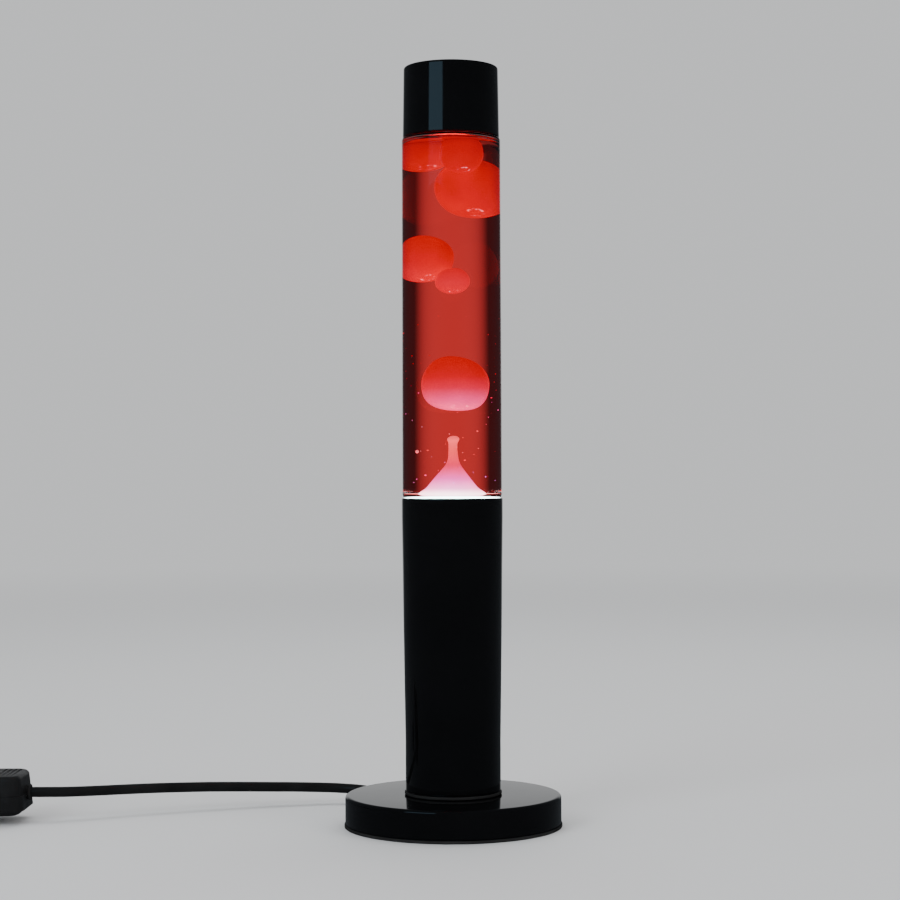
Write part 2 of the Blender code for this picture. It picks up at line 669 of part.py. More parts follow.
def build_bulb():
    neck_bottom = BULB_CAP_TOP - 0.0060
    outside = [
        (BULB_NECK_RADIUS, neck_bottom),
        (BULB_NECK_RADIUS, BULB_CAP_TOP + 0.0010),
        (0.38 * BULB_RADIUS, BULB_CAP_TOP + 0.0040),
        (0.50 * BULB_RADIUS, BULB_CAP_TOP + 0.0080),
        (0.74 * BULB_RADIUS, BULB_CAP_TOP + 0.0160),
        (0.92 * BULB_RADIUS, BULB_CAP_TOP + 0.0250),
        (BULB_RADIUS, BULB_TOP - 0.0120),
        (0.99 * BULB_RADIUS, BULB_TOP - 0.0085),
        (0.90 * BULB_RADIUS, BULB_TOP - 0.0045),
        (0.66 * BULB_RADIUS, BULB_TOP - 0.0017),
        (0.34 * BULB_RADIUS, BULB_TOP - 0.0004),
        (0, BULB_TOP),
    ]
    inside = [(0, BULB_TOP - BULB_GLASS)]
    inside += [(r - BULB_GLASS, min(z, BULB_TOP - 1.8 * BULB_GLASS)) for r, z in reversed(outside[:-1])]
    mesh = turned_mesh([*reversed(outside), *reversed(inside)], 24)
    add("bulb_envelope", mesh, "glass")
    rim = BULB_CAP_RADIUS + 0.0002
    turned(
        "bulb_screw_cap",
        [
            (0, BULB_CAP_BOTTOM),
            (0.0038, BULB_CAP_BOTTOM),
            (BULB_CAP_RADIUS, BULB_CAP_BOTTOM + 0.0030),
            (rim, BULB_CAP_TOP),
            (rim - BULB_CAP_WALL, BULB_CAP_TOP),
            (BULB_CAP_RADIUS - BULB_CAP_WALL, BULB_CAP_BOTTOM + 0.0034),
            (0.0034, BULB_CAP_BOTTOM + BULB_CAP_WALL),
            (0, BULB_CAP_BOTTOM + BULB_CAP_WALL),
        ],
        "brass",
        24,
    )
    turned(
        "bulb_contact",
        [
            (0, BULB_BOTTOM),
            (0.0014, BULB_BOTTOM + 0.0002),
            (0.0023, BULB_BOTTOM + BULB_TIP_HEIGHT),
            (0, BULB_BOTTOM + BULB_TIP_HEIGHT),
        ],
        "brass",
        16,
    )
    turned(
        "bulb_mount",
        [(0, neck_bottom), (0.0042, neck_bottom), (0.0026, neck_bottom + 0.0070), (0.0021, MOUNT_TOP), (0, MOUNT_TOP)],
        "glass",
        16,
    )
    spread = 0.0050
    wire_top = MOUNT_TOP + 0.0130
    for name, side in (("bulb_lead_left", -1), ("bulb_lead_right", 1)):
        route = [
            (side * 0.0013, 0, MOUNT_TOP + GAP),
            (side * 0.0020, 0, MOUNT_TOP + 0.0040),
            (side * spread, 0, wire_top),
        ]
        tube(name, route, LEAD_RADIUS, "steel", 0.003, 1)
    filament_height = wire_top + LEAD_RADIUS + 2 * GAP
    route = [
        (-spread, 0, filament_height),
        (-0.6 * spread, 0.0012, filament_height + 0.0006),
        (0, 0.0018, filament_height + 0.0009),
        (0.6 * spread, 0.0012, filament_height + 0.0006),
        (spread, 0, filament_height),
    ]
    tube("filament", route, LEAD_RADIUS, "steel", 0.0015, 1)


def build_bottle():
    inner_heel = HEEL_RADIUS - GLASS_WALL
    floor = BOTTLE_BOTTOM + GLASS_FLOOR
    neck_bottom = SHOULDER_TOP + 0.0085
    outside = [
        (0, BOTTLE_BOTTOM + 0.0004),
        (0.8 * HEEL_RADIUS, BOTTLE_BOTTOM + 0.0004),
        *arc(HEEL_RADIUS - HEEL_ROUND, BOTTLE_BOTTOM + HEEL_ROUND, HEEL_ROUND, -90, 0, 3),
        (HEEL_RADIUS, GLASS_BOTTOM - 0.0012),
        (0.5 * (HEEL_RADIUS + GLASS_RADIUS), GLASS_BOTTOM + 0.0004),
        (GLASS_RADIUS - 0.0001, GLASS_BOTTOM + SHOULDER_HEIGHT),
        (GLASS_RADIUS, GLASS_BOTTOM + 2 * SHOULDER_HEIGHT),
        (GLASS_TOP_RADIUS, SHOULDER_TOP - 0.0014),
        (GLASS_TOP_RADIUS - 0.0004, SHOULDER_TOP - 0.0004),
        (CAP_RADIUS - 0.0004, SHOULDER_TOP),
        (CAP_RADIUS - 0.0024, SHOULDER_TOP),
        (1.35 * NECK_RADIUS, SHOULDER_TOP + 0.0035),
        (1.08 * NECK_RADIUS, neck_bottom - 0.0022),
        (NECK_RADIUS, neck_bottom),
        (NECK_RADIUS, NECK_TOP),
    ]
    inside = [
        (NECK_RADIUS - NECK_WALL, NECK_TOP),
        (NECK_RADIUS - NECK_WALL, neck_bottom),
        (NECK_RADIUS - 0.3 * NECK_WALL, neck_bottom - 0.0030),
        (1.22 * NECK_RADIUS, SHOULDER_TOP + 0.0024),
        (CAP_RADIUS - 0.0030, SHOULDER_TOP - 0.0012),
        (GLASS_TOP_RADIUS - GLASS_WALL, SHOULDER_TOP - 0.0030),
        (GLASS_RADIUS - GLASS_WALL, GLASS_BOTTOM + 2 * SHOULDER_HEIGHT),
        (inner_heel, GLASS_BOTTOM - 0.0010),
        *arc(inner_heel - HEEL_ROUND, floor + HEEL_ROUND, HEEL_ROUND, 0, -90, 3),
        (0, floor),
    ]
    turned("bottle_glass", [*outside, *inside], "glass", 40)
    mouth = NECK_RADIUS - NECK_WALL - GAP
    turned(
        "bottle_stopper",
        [
            (0, NECK_TOP - STOPPER_DEPTH),
            (mouth, NECK_TOP - STOPPER_DEPTH),
            (mouth, NECK_TOP + GAP),
            (STOPPER_RADIUS, NECK_TOP + GAP),
            (STOPPER_RADIUS, NECK_TOP + GAP + STOPPER_FLANGE),
            (0, NECK_TOP + GAP + STOPPER_FLANGE),
        ],
        "black_plastic",
        32,
    )
    half = HEAT_COIL_THICKNESS / 2
    turned(
        "heat_coil",
        arc(HEAT_COIL_RADIUS, floor + GAP + half, half, 0, 315, 7),
        "steel",
        24,
    )
    build_mound(floor, inner_heel)


def build_mound(floor, inner_heel):
    """The pool of wax on the bottle's floor, with a channel for the heat coil, and the column
    that rises from it."""
    bottom = floor + GAP
    surface = STEM_TOP + POOL_TOP
    channel = HEAT_COIL_THICKNESS / 2 + GAP
    channel_top = bottom + HEAT_COIL_THICKNESS + 2 * GAP
    rim = inner_heel - GAP
    turned(
        "wax_mound",
        [
            (0, bottom),
            (HEAT_COIL_RADIUS - channel, bottom),
            (HEAT_COIL_RADIUS - channel, channel_top),
            (HEAT_COIL_RADIUS + channel, channel_top),
            (HEAT_COIL_RADIUS + channel, bottom),
            *arc(rim - HEEL_ROUND, bottom + HEEL_ROUND, HEEL_ROUND, -80, 0, 3),
            (rim, GLASS_BOTTOM - 0.0010),
            (rim + 0.0002, surface - 0.0004),
            (rim - 0.0030, surface),
            *[(r * BORE, surface + h * BOTTLE_BODY_HEIGHT) for r, h in COLUMN],
        ],
        "wax_hot",
        24,
    )


def build_wax():
    """The drops that rise and sink: stretched balls, placed from the stem's rim."""
    for name, (centre, halves) in DROPS.items():
        mesh = bmesh.new()
        bmesh.ops.create_uvsphere(mesh, u_segments=20, v_segments=10, radius=1)
        bmesh.ops.scale(
            mesh, vec=(halves[0] * BORE, halves[1] * BORE, halves[2] * BOTTLE_BODY_HEIGHT), verts=mesh.verts
        )
        x, y, z = centre
        add(name, mesh, "wax_red", at(x * BORE, y * BORE, STEM_TOP + z * BOTTLE_BODY_HEIGHT))


def build_cap():
    crown = CAP_TOP - CAP_WALL
    turned(
        "top_cap",
        [
            (0, CAP_TOP),
            *reversed(arc(CAP_TOP_RADIUS - CAP_ROUND, CAP_TOP - CAP_ROUND, CAP_ROUND, 0, 90)),
            (CAP_RADIUS, CAP_BOTTOM),
            (CAP_RADIUS - CAP_WALL, CAP_BOTTOM),
            (CAP_TOP_RADIUS - CAP_WALL, crown),
            (0, crown),
        ],
        "gloss_black",
    )
    bottom = CAP_BOTTOM + INSERT_DROP
    turned(
        "cap_insert",
        ring_outline(STOPPER_RADIUS + GAP, CAP_TOP_RADIUS - CAP_WALL - GAP, bottom, bottom + INSERT_HEIGHT),
        "black_plastic",
        40,
    )


def switch_half(name, bottom, top):
    """One moulded half of the switch's case: a round-cornered box whose outer face is the smaller
    one, open at the parting plane."""
    x, y = SWITCH_CENTRE
    height = top - bottom
    mesh = block_mesh(SWITCH_LENGTH, SWITCH_WIDTH, height)
    upright = [e for e in mesh.edges if abs(e.verts[0].co.z - e.verts[1].co.z) > height / 2]
    bmesh.ops.bevel(mesh, geom=upright, offset=SWITCH_CORNER, segments=4, affect="EDGES", profile=0.5)
    outer = 1 if name == "switch_cover" else -1
    face = [v for v in mesh.verts if v.co.z * outer > 0]
    for corner in face:
        corner.co.x *= 1 - 2 * SWITCH_DRAFT / SWITCH_LENGTH
        corner.co.y *= 1 - SWITCH_DRAFT / SWITCH_WIDTH
    rim = [e for e in mesh.edges if all(v in face for v in e.verts)]
    bmesh.ops.bevel(mesh, geom=rim, offset=SWITCH_ROUND, segments=2, affect="EDGES", profile=0.5)
    half = add(name, mesh, "black_plastic", at(x, y, bottom + height / 2))
    inside = SWITCH_WALL + SWITCH_DRAFT
    room_mesh = block_mesh(SWITCH_LENGTH - 2 * inside, SWITCH_WIDTH - 2 * inside, height)
    upright = [e for e in room_mesh.edges if abs(e.verts[0].co.z - e.verts[1].co.z) > height / 2]
    bmesh.ops.bevel(room_mesh, geom=upright, offset=SWITCH_CORNER - inside, segments=2, affect="EDGES", profile=0.5)
    room = add(name + "_room", room_mesh, "steel", at(x, y, bottom + height / 2 - outer * SWITCH_WALL))
    cut(half, room)
    return half


def build_switch():
    x, y = SWITCH_CENTRE
    base = switch_half("switch_base", SWITCH_BOTTOM, SWITCH_MIDDLE - GAP / 2)
    cover = switch_half("switch_cover", SWITCH_MIDDLE + GAP / 2, SWITCH_TOP)
    window = add(
        "rocker_window",
        block_mesh(ROCKER_LENGTH + 2 * WINDOW_MARGIN, ROCKER_WIDTH + 2 * GAP, SWITCH_HEIGHT / 2),
        "steel",
        at(x, y, SWITCH_TOP),
    )
    cut(cover, window)
    for k, side in enumerate((-1, 1), start=1):
        bore_place = along_x(x + side * SWITCH_LENGTH / 2, y, SWITCH_MIDDLE)
        bore = rod(f"cord_bore_{k}", CORD_HOLE_RADIUS, -2 * SWITCH_WALL, 2 * SWITCH_WALL, bore_place)
        cut(base, bore)
        cut(cover, bore)
        place = at(x + side * SWITCH_SCREW_OFFSET, y, 0)
        post_bottom = SWITCH_BOTTOM + SWITCH_WALL + GAP
        post_top = SWITCH_TOP - SWITCH_WALL / 2
        screw_top = SWITCH_MIDDLE
        post = screw_boss(f"switch_post_{k}", SWITCH_POST_RADIUS, post_bottom, post_top, screw_top, place)
        cut(cover, post, "UNION")
        cut(base, rod(f"switch_drill_{k}", SCREW_RADIUS + GAP, 0, screw_top, place))
        head = SWITCH_BOTTOM - GAP
        turned(
            f"switch_screw_{k}",
            [
                (0, head - SCREW_HEAD_HEIGHT),
                (SCREW_HEAD_RADIUS, head - SCREW_HEAD_HEIGHT),
                (SCREW_HEAD_RADIUS, head),
                (SCREW_RADIUS, head),
                (SCREW_RADIUS, screw_top),
                (0, screw_top),
            ],
            "steel",
            16,
            place,
        )
        end = SWITCH_LENGTH / 2 + GAP
        turned(
            "switch_grommet_in" if side > 0 else "switch_grommet_out",
            disc_outline(GROMMET_RADIUS, 0, GROMMET_THICKNESS),
            "black_rubber",
            20,
            along_x(x + side * end, y, SWITCH_MIDDLE, side),
        )
    corners = [(i, j) for i in (-1, 1) for j in (-1, 1)]
    for k, (i, j) in enumerate(corners, start=1):
        spot = at(x + i * FOOT_SPACING[0] / 2, y + j * FOOT_SPACING[1] / 2, 0)
        turned(f"switch_foot_{k}", disc_outline(FOOT_RADIUS, 0, SWITCH_BOTTOM - GAP), "black_rubber", 20, spot)
    build_rocker(x, y)


def build_rocker(x, y):
    """A shallow V of a button, tipped to its on side, with its pivot pin."""
    half = ROCKER_LENGTH / 2
    rise = ROCKER_DROP + ROCKER_PROUD
    outline = [
        (-ROCKER_FOOT, -ROCKER_DEPTH),
        (ROCKER_FOOT, -ROCKER_DEPTH),
        (half, -0.2 * ROCKER_DEPTH),
        (half, rise),
        (0, rise - ROCKER_DISH),
        (-half, rise),
        (-half, -0.2 * ROCKER_DEPTH),
    ]
    mesh = bmesh.new()
    corners = [mesh.verts.new((px, -ROCKER_WIDTH / 2, pz)) for px, pz in outline]
    side = mesh.faces.new(corners)
    swept = bmesh.ops.extrude_face_region(mesh, geom=[side])["geom"]
    moved = [v for v in swept if isinstance(v, bmesh.types.BMVert)]
    bmesh.ops.translate(mesh, verts=moved, vec=(0, ROCKER_WIDTH, 0))
    pivot = at(x, y, ROCKER_HEIGHT) @ Matrix.Rotation(ROCKER_TILT, 4, "Y")
    rocker = add("switch_rocker", mesh, "black_plastic", pivot)
    pin_length = ROCKER_WIDTH + 2 * ROCKER_PIN_END
    pin = rod("rocker_pin", ROCKER_PIN_RADIUS, -pin_length / 2, pin_length / 2, steps=12)
    pin.matrix_world = pivot @ Matrix.Rotation(pi / 2, 4, "X")
    cut(rocker, pin, "UNION")


def relief_end():
    """Where the cord leaves the base's strain relief."""
    return towards_cord(BASE_RADIUS + RELIEF_LENGTH + 2 * GAP, CORD_EXIT_HEIGHT).translation


def build_cord():
    x, y = SWITCH_CENTRE
    reach = SWITCH_LENGTH / 2 + GROMMET_THICKNESS + 2 * GAP
    lead = fitted(LEAD_ROUTE, relief_end(), (x + reach, y, SWITCH_MIDDLE))
    tail = fitted(TAIL_ROUTE, (x - reach, y, SWITCH_MIDDLE), TAIL_ROUTE[-1])
    end = fitted(END_ROUTE, END_ROUTE[0], (PLUG_END - GAP, PLUG_LINE, PLUG_HEIGHT))
    tube("cord_lead", lead, CORD_RADIUS, "black_rubber", 0.006)
    tube("cord_tail", tail, CORD_RADIUS, "black_rubber", 0.012)
    tube("cord_end", end, CORD_RADIUS, "black_rubber", 0.010)
    turned(
        "cord_coil",
        ring_outline(COIL_RADIUS - COIL_HALF_WIDTH, COIL_RADIUS + COIL_HALF_WIDTH, COIL_LIFT, COIL_TOP),
        "black_rubber",
        40,
        at(*COIL_CENTRE, 0),
    )


def build_plug():
    turned(
        "plug_relief",
        [
            (0, 0),
            (CORD_RADIUS + RELIEF_TIP, 0),
            (PLUG_RELIEF_RADIUS, PLUG_RELIEF_LENGTH),
            (0, PLUG_RELIEF_LENGTH),
        ],
        "black_rubber",
        20,
        along_x(PLUG_END, PLUG_LINE, PLUG_HEIGHT),
    )
    start = PLUG_END + PLUG_RELIEF_LENGTH + GAP
    mesh = block_mesh(PLUG_LENGTH, PLUG_WIDTH, PLUG_THICKNESS)
    for corner in mesh.verts:
        if corner.co.x < 0:
            corner.co.y *= PLUG_WAIST
            corner.co.z *= 0.94
    bmesh.ops.bevel(mesh, geom=mesh.edges[:], offset=PLUG_ROUND, segments=2, affect="EDGES", profile=0.5)
    add("plug_body", mesh, "black_plastic", at(start + PLUG_LENGTH / 2, PLUG_LINE, PLUG_HEIGHT))
    for name, side in (("plug_pin_left", 1), ("plug_pin_right", -1)):
        outline = [
            (0, 0),
            (PIN_RADIUS, 0),
            (PIN_RADIUS, PIN_LENGTH - 0.0010),
            (0.5 * PIN_RADIUS, PIN_LENGTH),
            (0, PIN_LENGTH),
        ]
        place = along_x(start + PLUG_LENGTH + GAP, PLUG_LINE + side * PIN_SPACING / 2, PLUG_HEIGHT)
        turned(name, outline, "brass", 16, place)


def main():
    for obj in list(bpy.data.objects):
        bpy.data.objects.remove(obj)
    build_base()
    build_stem()
    build_tube()
    build_holder()
    build_bulb()
    build_bottle()
    build_wax()
    build_cap()
    build_cord()
    build_switch()
    build_plug()


main()
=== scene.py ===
import json
from math import cos, pi, radians, sin, sqrt, tau

import bmesh
import bpy
from mathutils import Matrix, Vector, noise


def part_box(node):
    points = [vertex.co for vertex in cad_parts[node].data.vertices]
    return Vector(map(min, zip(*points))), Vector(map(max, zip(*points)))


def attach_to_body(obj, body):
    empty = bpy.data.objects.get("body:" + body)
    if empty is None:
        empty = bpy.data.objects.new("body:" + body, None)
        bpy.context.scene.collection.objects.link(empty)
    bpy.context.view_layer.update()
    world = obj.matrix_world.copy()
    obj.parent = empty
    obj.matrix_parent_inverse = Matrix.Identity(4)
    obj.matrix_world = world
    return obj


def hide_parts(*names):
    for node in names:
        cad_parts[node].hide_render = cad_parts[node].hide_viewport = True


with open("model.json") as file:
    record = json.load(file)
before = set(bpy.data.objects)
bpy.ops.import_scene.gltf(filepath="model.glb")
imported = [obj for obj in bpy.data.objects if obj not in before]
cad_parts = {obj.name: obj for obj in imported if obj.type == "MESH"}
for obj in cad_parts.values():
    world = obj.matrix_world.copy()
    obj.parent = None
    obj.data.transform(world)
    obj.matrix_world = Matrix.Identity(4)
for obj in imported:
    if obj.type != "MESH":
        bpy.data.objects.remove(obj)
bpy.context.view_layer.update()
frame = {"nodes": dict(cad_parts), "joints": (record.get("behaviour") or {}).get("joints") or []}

# The camera stands in front of the lamp, a little above its base, with a long lens.
CAMERA_PLACE = (-0.0011, -1.0883, 0.1846)
CAMERA_LENS = 82.4
CAMERA_PITCH = radians(0.695)
CAMERA_ROLL = radians(-0.21)

# The lead: its diameter, its routes and its coil, as in the CAD source.
CORD = 0.0055
COIL_CENTRE = Vector((-0.387, 0.05025, 0))
COIL_RADIUS = 0.029
COIL_LAYERS = 4
COIL_LIFT = 0.0012
LEAD_ROUTE = [
    (-0.044, 0.0629, 0.008), (-0.0471, 0.0671, 0.008), (-0.0524, 0.0713, 0.0081),
    (-0.0605, 0.0736, 0.0084), (-0.07, 0.0736, 0.0089), (-0.0862, 0.0703, 0.0098),
    (-0.1027, 0.066, 0.0106), (-0.119, 0.0608, 0.0115), (-0.135, 0.0548, 0.0124),
    (-0.1508, 0.0485, 0.0131), (-0.1664, 0.0417, 0.0137), (-0.1815, 0.034, 0.0142),
    (-0.1963, 0.0262, 0.0147), (-0.209, 0.0209, 0.0151), (-0.221, 0.0187, 0.0154),
    (-0.2285, 0.0185, 0.01545),
]
TAIL_ROUTE = [
    (-0.2998, 0.0185, 0.01545), (-0.31, 0.0185, 0.0156), (-0.325, 0.0185, 0.0168),
    (-0.34, 0.0185, 0.0185), (-0.355, 0.0185, 0.0199), (-0.3672, 0.0185, 0.0204),
]
END_ROUTE = [
    (-0.4118, 0.06, 0.0222), (-0.404, 0.073, 0.0265), (-0.399, 0.08, 0.0268),
    (-0.393, 0.0865, 0.0264), (-0.384, 0.093, 0.021), (-0.372, 0.098, 0.0127),
    (-0.36, 0.1008, 0.0078), (-0.3462, 0.1015, 0.00685),
]

# Other sizes from the CAD source, which no node's box gives. All but one are radii.
STUD_HOLE = 0.0053
STEM_FOOT = 0.02505
SEAT_BORE = 0.0203
BOTTLE_HEEL, BOTTLE_TOP, BOTTLE_NECK = 0.0248, 0.02605, 0.013
CAP_TOP = 0.025
CORD_GRIP = CORD / 2 + 0.00005  # a hole that closes on the lead
WAX_COLUMN_HEIGHT = 0.0319


# ---------------------------------------------------------------- node trees

class Graph:
    """A node tree. An input takes a number, a colour or another node's output."""

    def __init__(self, tree):
        self.nodes, self.links = tree.nodes, tree.links

    def fill(self, node, inputs):
        for name, value in inputs.items():
            socket = node.inputs[name]
            if isinstance(value, bpy.types.NodeSocket):
                self.links.new(value, socket)
            else:
                socket.default_value = (*value, 1) if socket.type == "RGBA" else value

    def node(self, kind, inputs=None, **settings):
        node = self.nodes.new("ShaderNode" + kind)
        for name, value in settings.items():
            setattr(node, name, value)
        self.fill(node, inputs or {})
        return node

    def axis(self, vector, name):
        return self.node("SeparateXYZ", {"Vector": vector}).outputs[name]

    def maths(self, operation, a, b=0.0):
        return self.node("Math", {0: a, 1: b}, operation=operation).outputs["Value"]

    def span(self, value, start, end, low=0.0, high=1.0, kind="LINEAR"):
        """Where a value stands between two numbers, spread from low to high."""
        inputs = {"Value": value, "From Min": start, "From Max": end, "To Min": low, "To Max": high}
        return self.node("MapRange", inputs, interpolation_type=kind).outputs["Result"]

    def eased(self, value, start, end):
        return self.span(value, start, end, kind="SMOOTHSTEP")

    def mix(self, factor, a, b, blend="MIX"):
        inputs = {"Factor": factor, "A": a, "B": b}
        return self.node("Mix", inputs, data_type="RGBA", blend_type=blend).outputs["Result"]

    def noise(self, scale, low, high, detail=3.0, stretch=(1, 1, 1)):
        """A noise in the piece's own coordinates, spread over a range of values."""
        place = self.node("TexCoord").outputs["Object"]
        spread = self.node("Mapping", {"Vector": place, "Scale": stretch}).outputs["Vector"]
        texture = self.node("TexNoise", {"Vector": spread, "Scale": scale, "Detail": detail})
        return self.span(texture.outputs["Fac"], 0.3, 0.7, low, high)


class Finish(Graph):
    """A new material, with its Principled shader."""

    def __init__(self, name):
        self.material = bpy.data.materials.new(name)
        self.material.use_nodes = True
        super().__init__(self.material.node_tree)
        self.shader = self.nodes["Principled BSDF"]

    def set(self, inputs):
        self.fill(self.shader, inputs)

    def relief(self, height, depth):
        """A bump of this depth in metres, from a height between 0 and 1."""
        node = self.node("Bump", {"Strength": 1.0, "Distance": depth, "Height": height})
        self.set({"Normal": node.outputs["Normal"]})

    def either(self, factor, first, second):
        return self.node("MixShader", {0: factor, 1: first, 2: second}).outputs["Shader"]

    def show(self, **shaders):
        self.fill(self.nodes["Material Output"], shaders)

    def height_ramp(self, height, stops):
        """A colour that follows the height above the table, from (height, colour) stops."""
        span = self.span(height, WAX_LOW, WAX_HIGH)
        ramp = self.node("ValToRGB", {"Fac": span})
        points = ramp.color_ramp.elements
        points.remove(points[1])
        for k, (z, colour) in enumerate(stops):
            share = (z - WAX_LOW) / (WAX_HIGH - WAX_LOW)
            point = points.new(share) if k else points[0]
            point.position = share
            point.color = (*colour, 1)
        return ramp.outputs["Color"]


# ---------------------------------------------------------------- materials

def surface(name, dark, pale, roughness, metallic, grain, depth, patch=60, stretch=(1, 1, 1)):
    """A solid finish: colour and roughness vary in patches, and a finer grain stands in relief."""
    made = Finish(name)
    made.set({
        "Base Color": made.mix(made.noise(patch, 0, 1), dark, pale),
        "Roughness": made.noise(2.3 * patch, *roughness, 4.0, stretch),
        "Metallic": metallic,
    })
    made.relief(made.noise(grain, 0, 1, 2.0, stretch), depth)
    return made.material


def clear_glass(name, index, tint, absorbed=None, density=0.0, edge=None, sheen=(1, 1, 1)):
    """Glass or liquid. Seen edge on, its colour darkens towards the edge colour, a painted shade
    for a glass wall's dark rim. To shadow rays it is only a tint, so lamps light what is inside."""
    made = Finish(name)
    colour = tint
    # Painted shade: the colour darkens towards the edge colour where the glass is seen edge on.
    if edge:
        facing = made.node("LayerWeight", {"Blend": 0.5}).outputs["Facing"]
        colour = made.mix(made.eased(facing, 0.32, 0.68), tint, edge)
    made.set({
        "Base Color": colour,
        "Roughness": 0.0,
        "IOR": index,
        "Specular Tint": sheen,
        "Transmission Weight": 1.0,
    })
    made.relief(made.noise(40, 0, 1, 1.0, (1, 1, 0.25)), 4e-5)
    clear = made.node("BsdfTransparent", {"Color": tint}).outputs["BSDF"]
    shadow = made.node("LightPath").outputs["Is Shadow Ray"]
    made.show(Surface=made.either(shadow, made.shader.outputs["BSDF"], clear))
    if absorbed:
        volume = made.node("VolumeAbsorption", {"Color": absorbed, "Density": density})
        made.show(Volume=volume.outputs["Volume"])
    return made.material


# Painted light: the wax's colour and glow follow its height above the bulb: cream at the foot, pink, then
# red.
# (height, colour, strength)
PAINTED_WAX_GLOW = [
    (0.16, (0.8, 1.00, 0.9), 13.0),
    (0.1738, (0.62, 1.00, 0.98), 13.0),
    (0.1775, (0.6, 0.46, 1.00), 6.4),
    (0.183, (0.64, 0.17, 1.00), 3.6),
    (0.19, (1.00, 0.08, 0.46), 1.4),
    (0.197, (1.00, 0.3, 0.36), 1.5),
    (0.206, (1.00, 0.46, 0.5), 1.8),
    (0.217, (1.00, 0.22, 0.86), 1.5),
    (0.224, (1.00, 0.1, 0.56), 1.25),
    (0.23, (1.00, 0.01, 0.14), 0.85),
    (0.236, (1.00, 0.0, 0.03), 0.66),
    (0.247, (1.00, 0.0, 0.02), 0.52),
    (0.285, (1.00, 0.02, 0.06), 0.8),
    (0.297, (1.00, 0.0, 0.015), 0.66),
    (0.31, (1.00, 0.0, 0.01), 0.54),
    (0.32, (1.00, 0.0, 0.02), 0.68),
    (0.345, (1.00, 0.0, 0.01), 0.54),
    (0.362, (1.00, 0.0, 0.01), 0.42),
]
WAX_LOW, WAX_HIGH = 0.155, 0.37
WAX_BRIGHTEST = max(power for _, _, power in PAINTED_WAX_GLOW)
# Painted reflection of the bulb: the direction on a drop where its ring lies, and the ring's width.
PAINTED_BULB_REFLECTION = (0.1, -0.52, -0.848)  # where on a drop the bulb shows, as a direction
PAINTED_BULB_REFLECTION_EDGE = 0.972  # the cosine of its ring's half width


def wax(name):
    """Molten wax with painted light from the bulb below: its colour and glow follow its height and
    grow on faces that look down, and a broken bright ring low on it is a painted reflection of the bulb."""
    made = Finish(name)
    height = made.axis(made.node("TexCoord").outputs["Object"], "Z")
    colour = made.height_ramp(height, [(z, c) for z, c, _ in PAINTED_WAX_GLOW])
    power = made.height_ramp(height, [(z, (p / WAX_BRIGHTEST,) * 3) for z, _, p in PAINTED_WAX_GLOW])
    # Painted light from below: faces that look down glow more.
    normal = made.node("NewGeometry").outputs["Normal"]
    glow = made.span(made.axis(normal, "Z"), -0.9, 1.0, 1.25 * WAX_BRIGHTEST, 0.7 * WAX_BRIGHTEST)
    strength = made.maths("MULTIPLY", glow, power)
    strength = made.maths("MULTIPLY", strength, made.noise(110, 0.93, 1.07, 2.0))
    # Painted reflection: a broken bright pink ring where the bulb would show.
    towards = made.node("VectorMath", {0: normal, 1: PAINTED_BULB_REFLECTION}, operation="DOT_PRODUCT")
    off_ring = made.maths("ADD", towards.outputs["Value"], -PAINTED_BULB_REFLECTION_EDGE)
    ring = made.eased(made.maths("ABSOLUTE", off_ring), 0.016, 0.002)
    broken = made.maths("MULTIPLY", ring, made.noise(520, -0.9, 1.0, 2.0))
    broken = made.maths("MAXIMUM", broken)
    made.set({
        # The base colour carries the painted height glow as well.
        "Base Color": made.mix(1.0, colour, (0.55, 0.55, 0.55), "MULTIPLY"),
        "Emission Color": made.mix(broken, colour, (1.0, 0.46, 0.62)),
        "Emission Strength": made.maths("ADD", strength, made.maths("MULTIPLY", broken, 1.8)),
        "Roughness": made.noise(90, 0.22, 0.34),
        "Specular IOR Level": 0.25,
    })
    made.relief(made.noise(70, 0, 1, 1.0), 1.0e-4)
    return made.material


def glowing(name, colour, strength, roughness):
    """The lit bulb's frosted face and its filament."""
    made = Finish(name)
    made.set({
        "Base Color": made.mix(made.noise(400, 0, 1), colour, (1, 1, 1)),
        "Roughness": made.noise(300, 0.8 * roughness, roughness),
        "Emission Color": colour,
        "Emission Strength": made.noise(35, 0.8 * strength, 1.1 * strength, 1.0),
    })
    return made.material


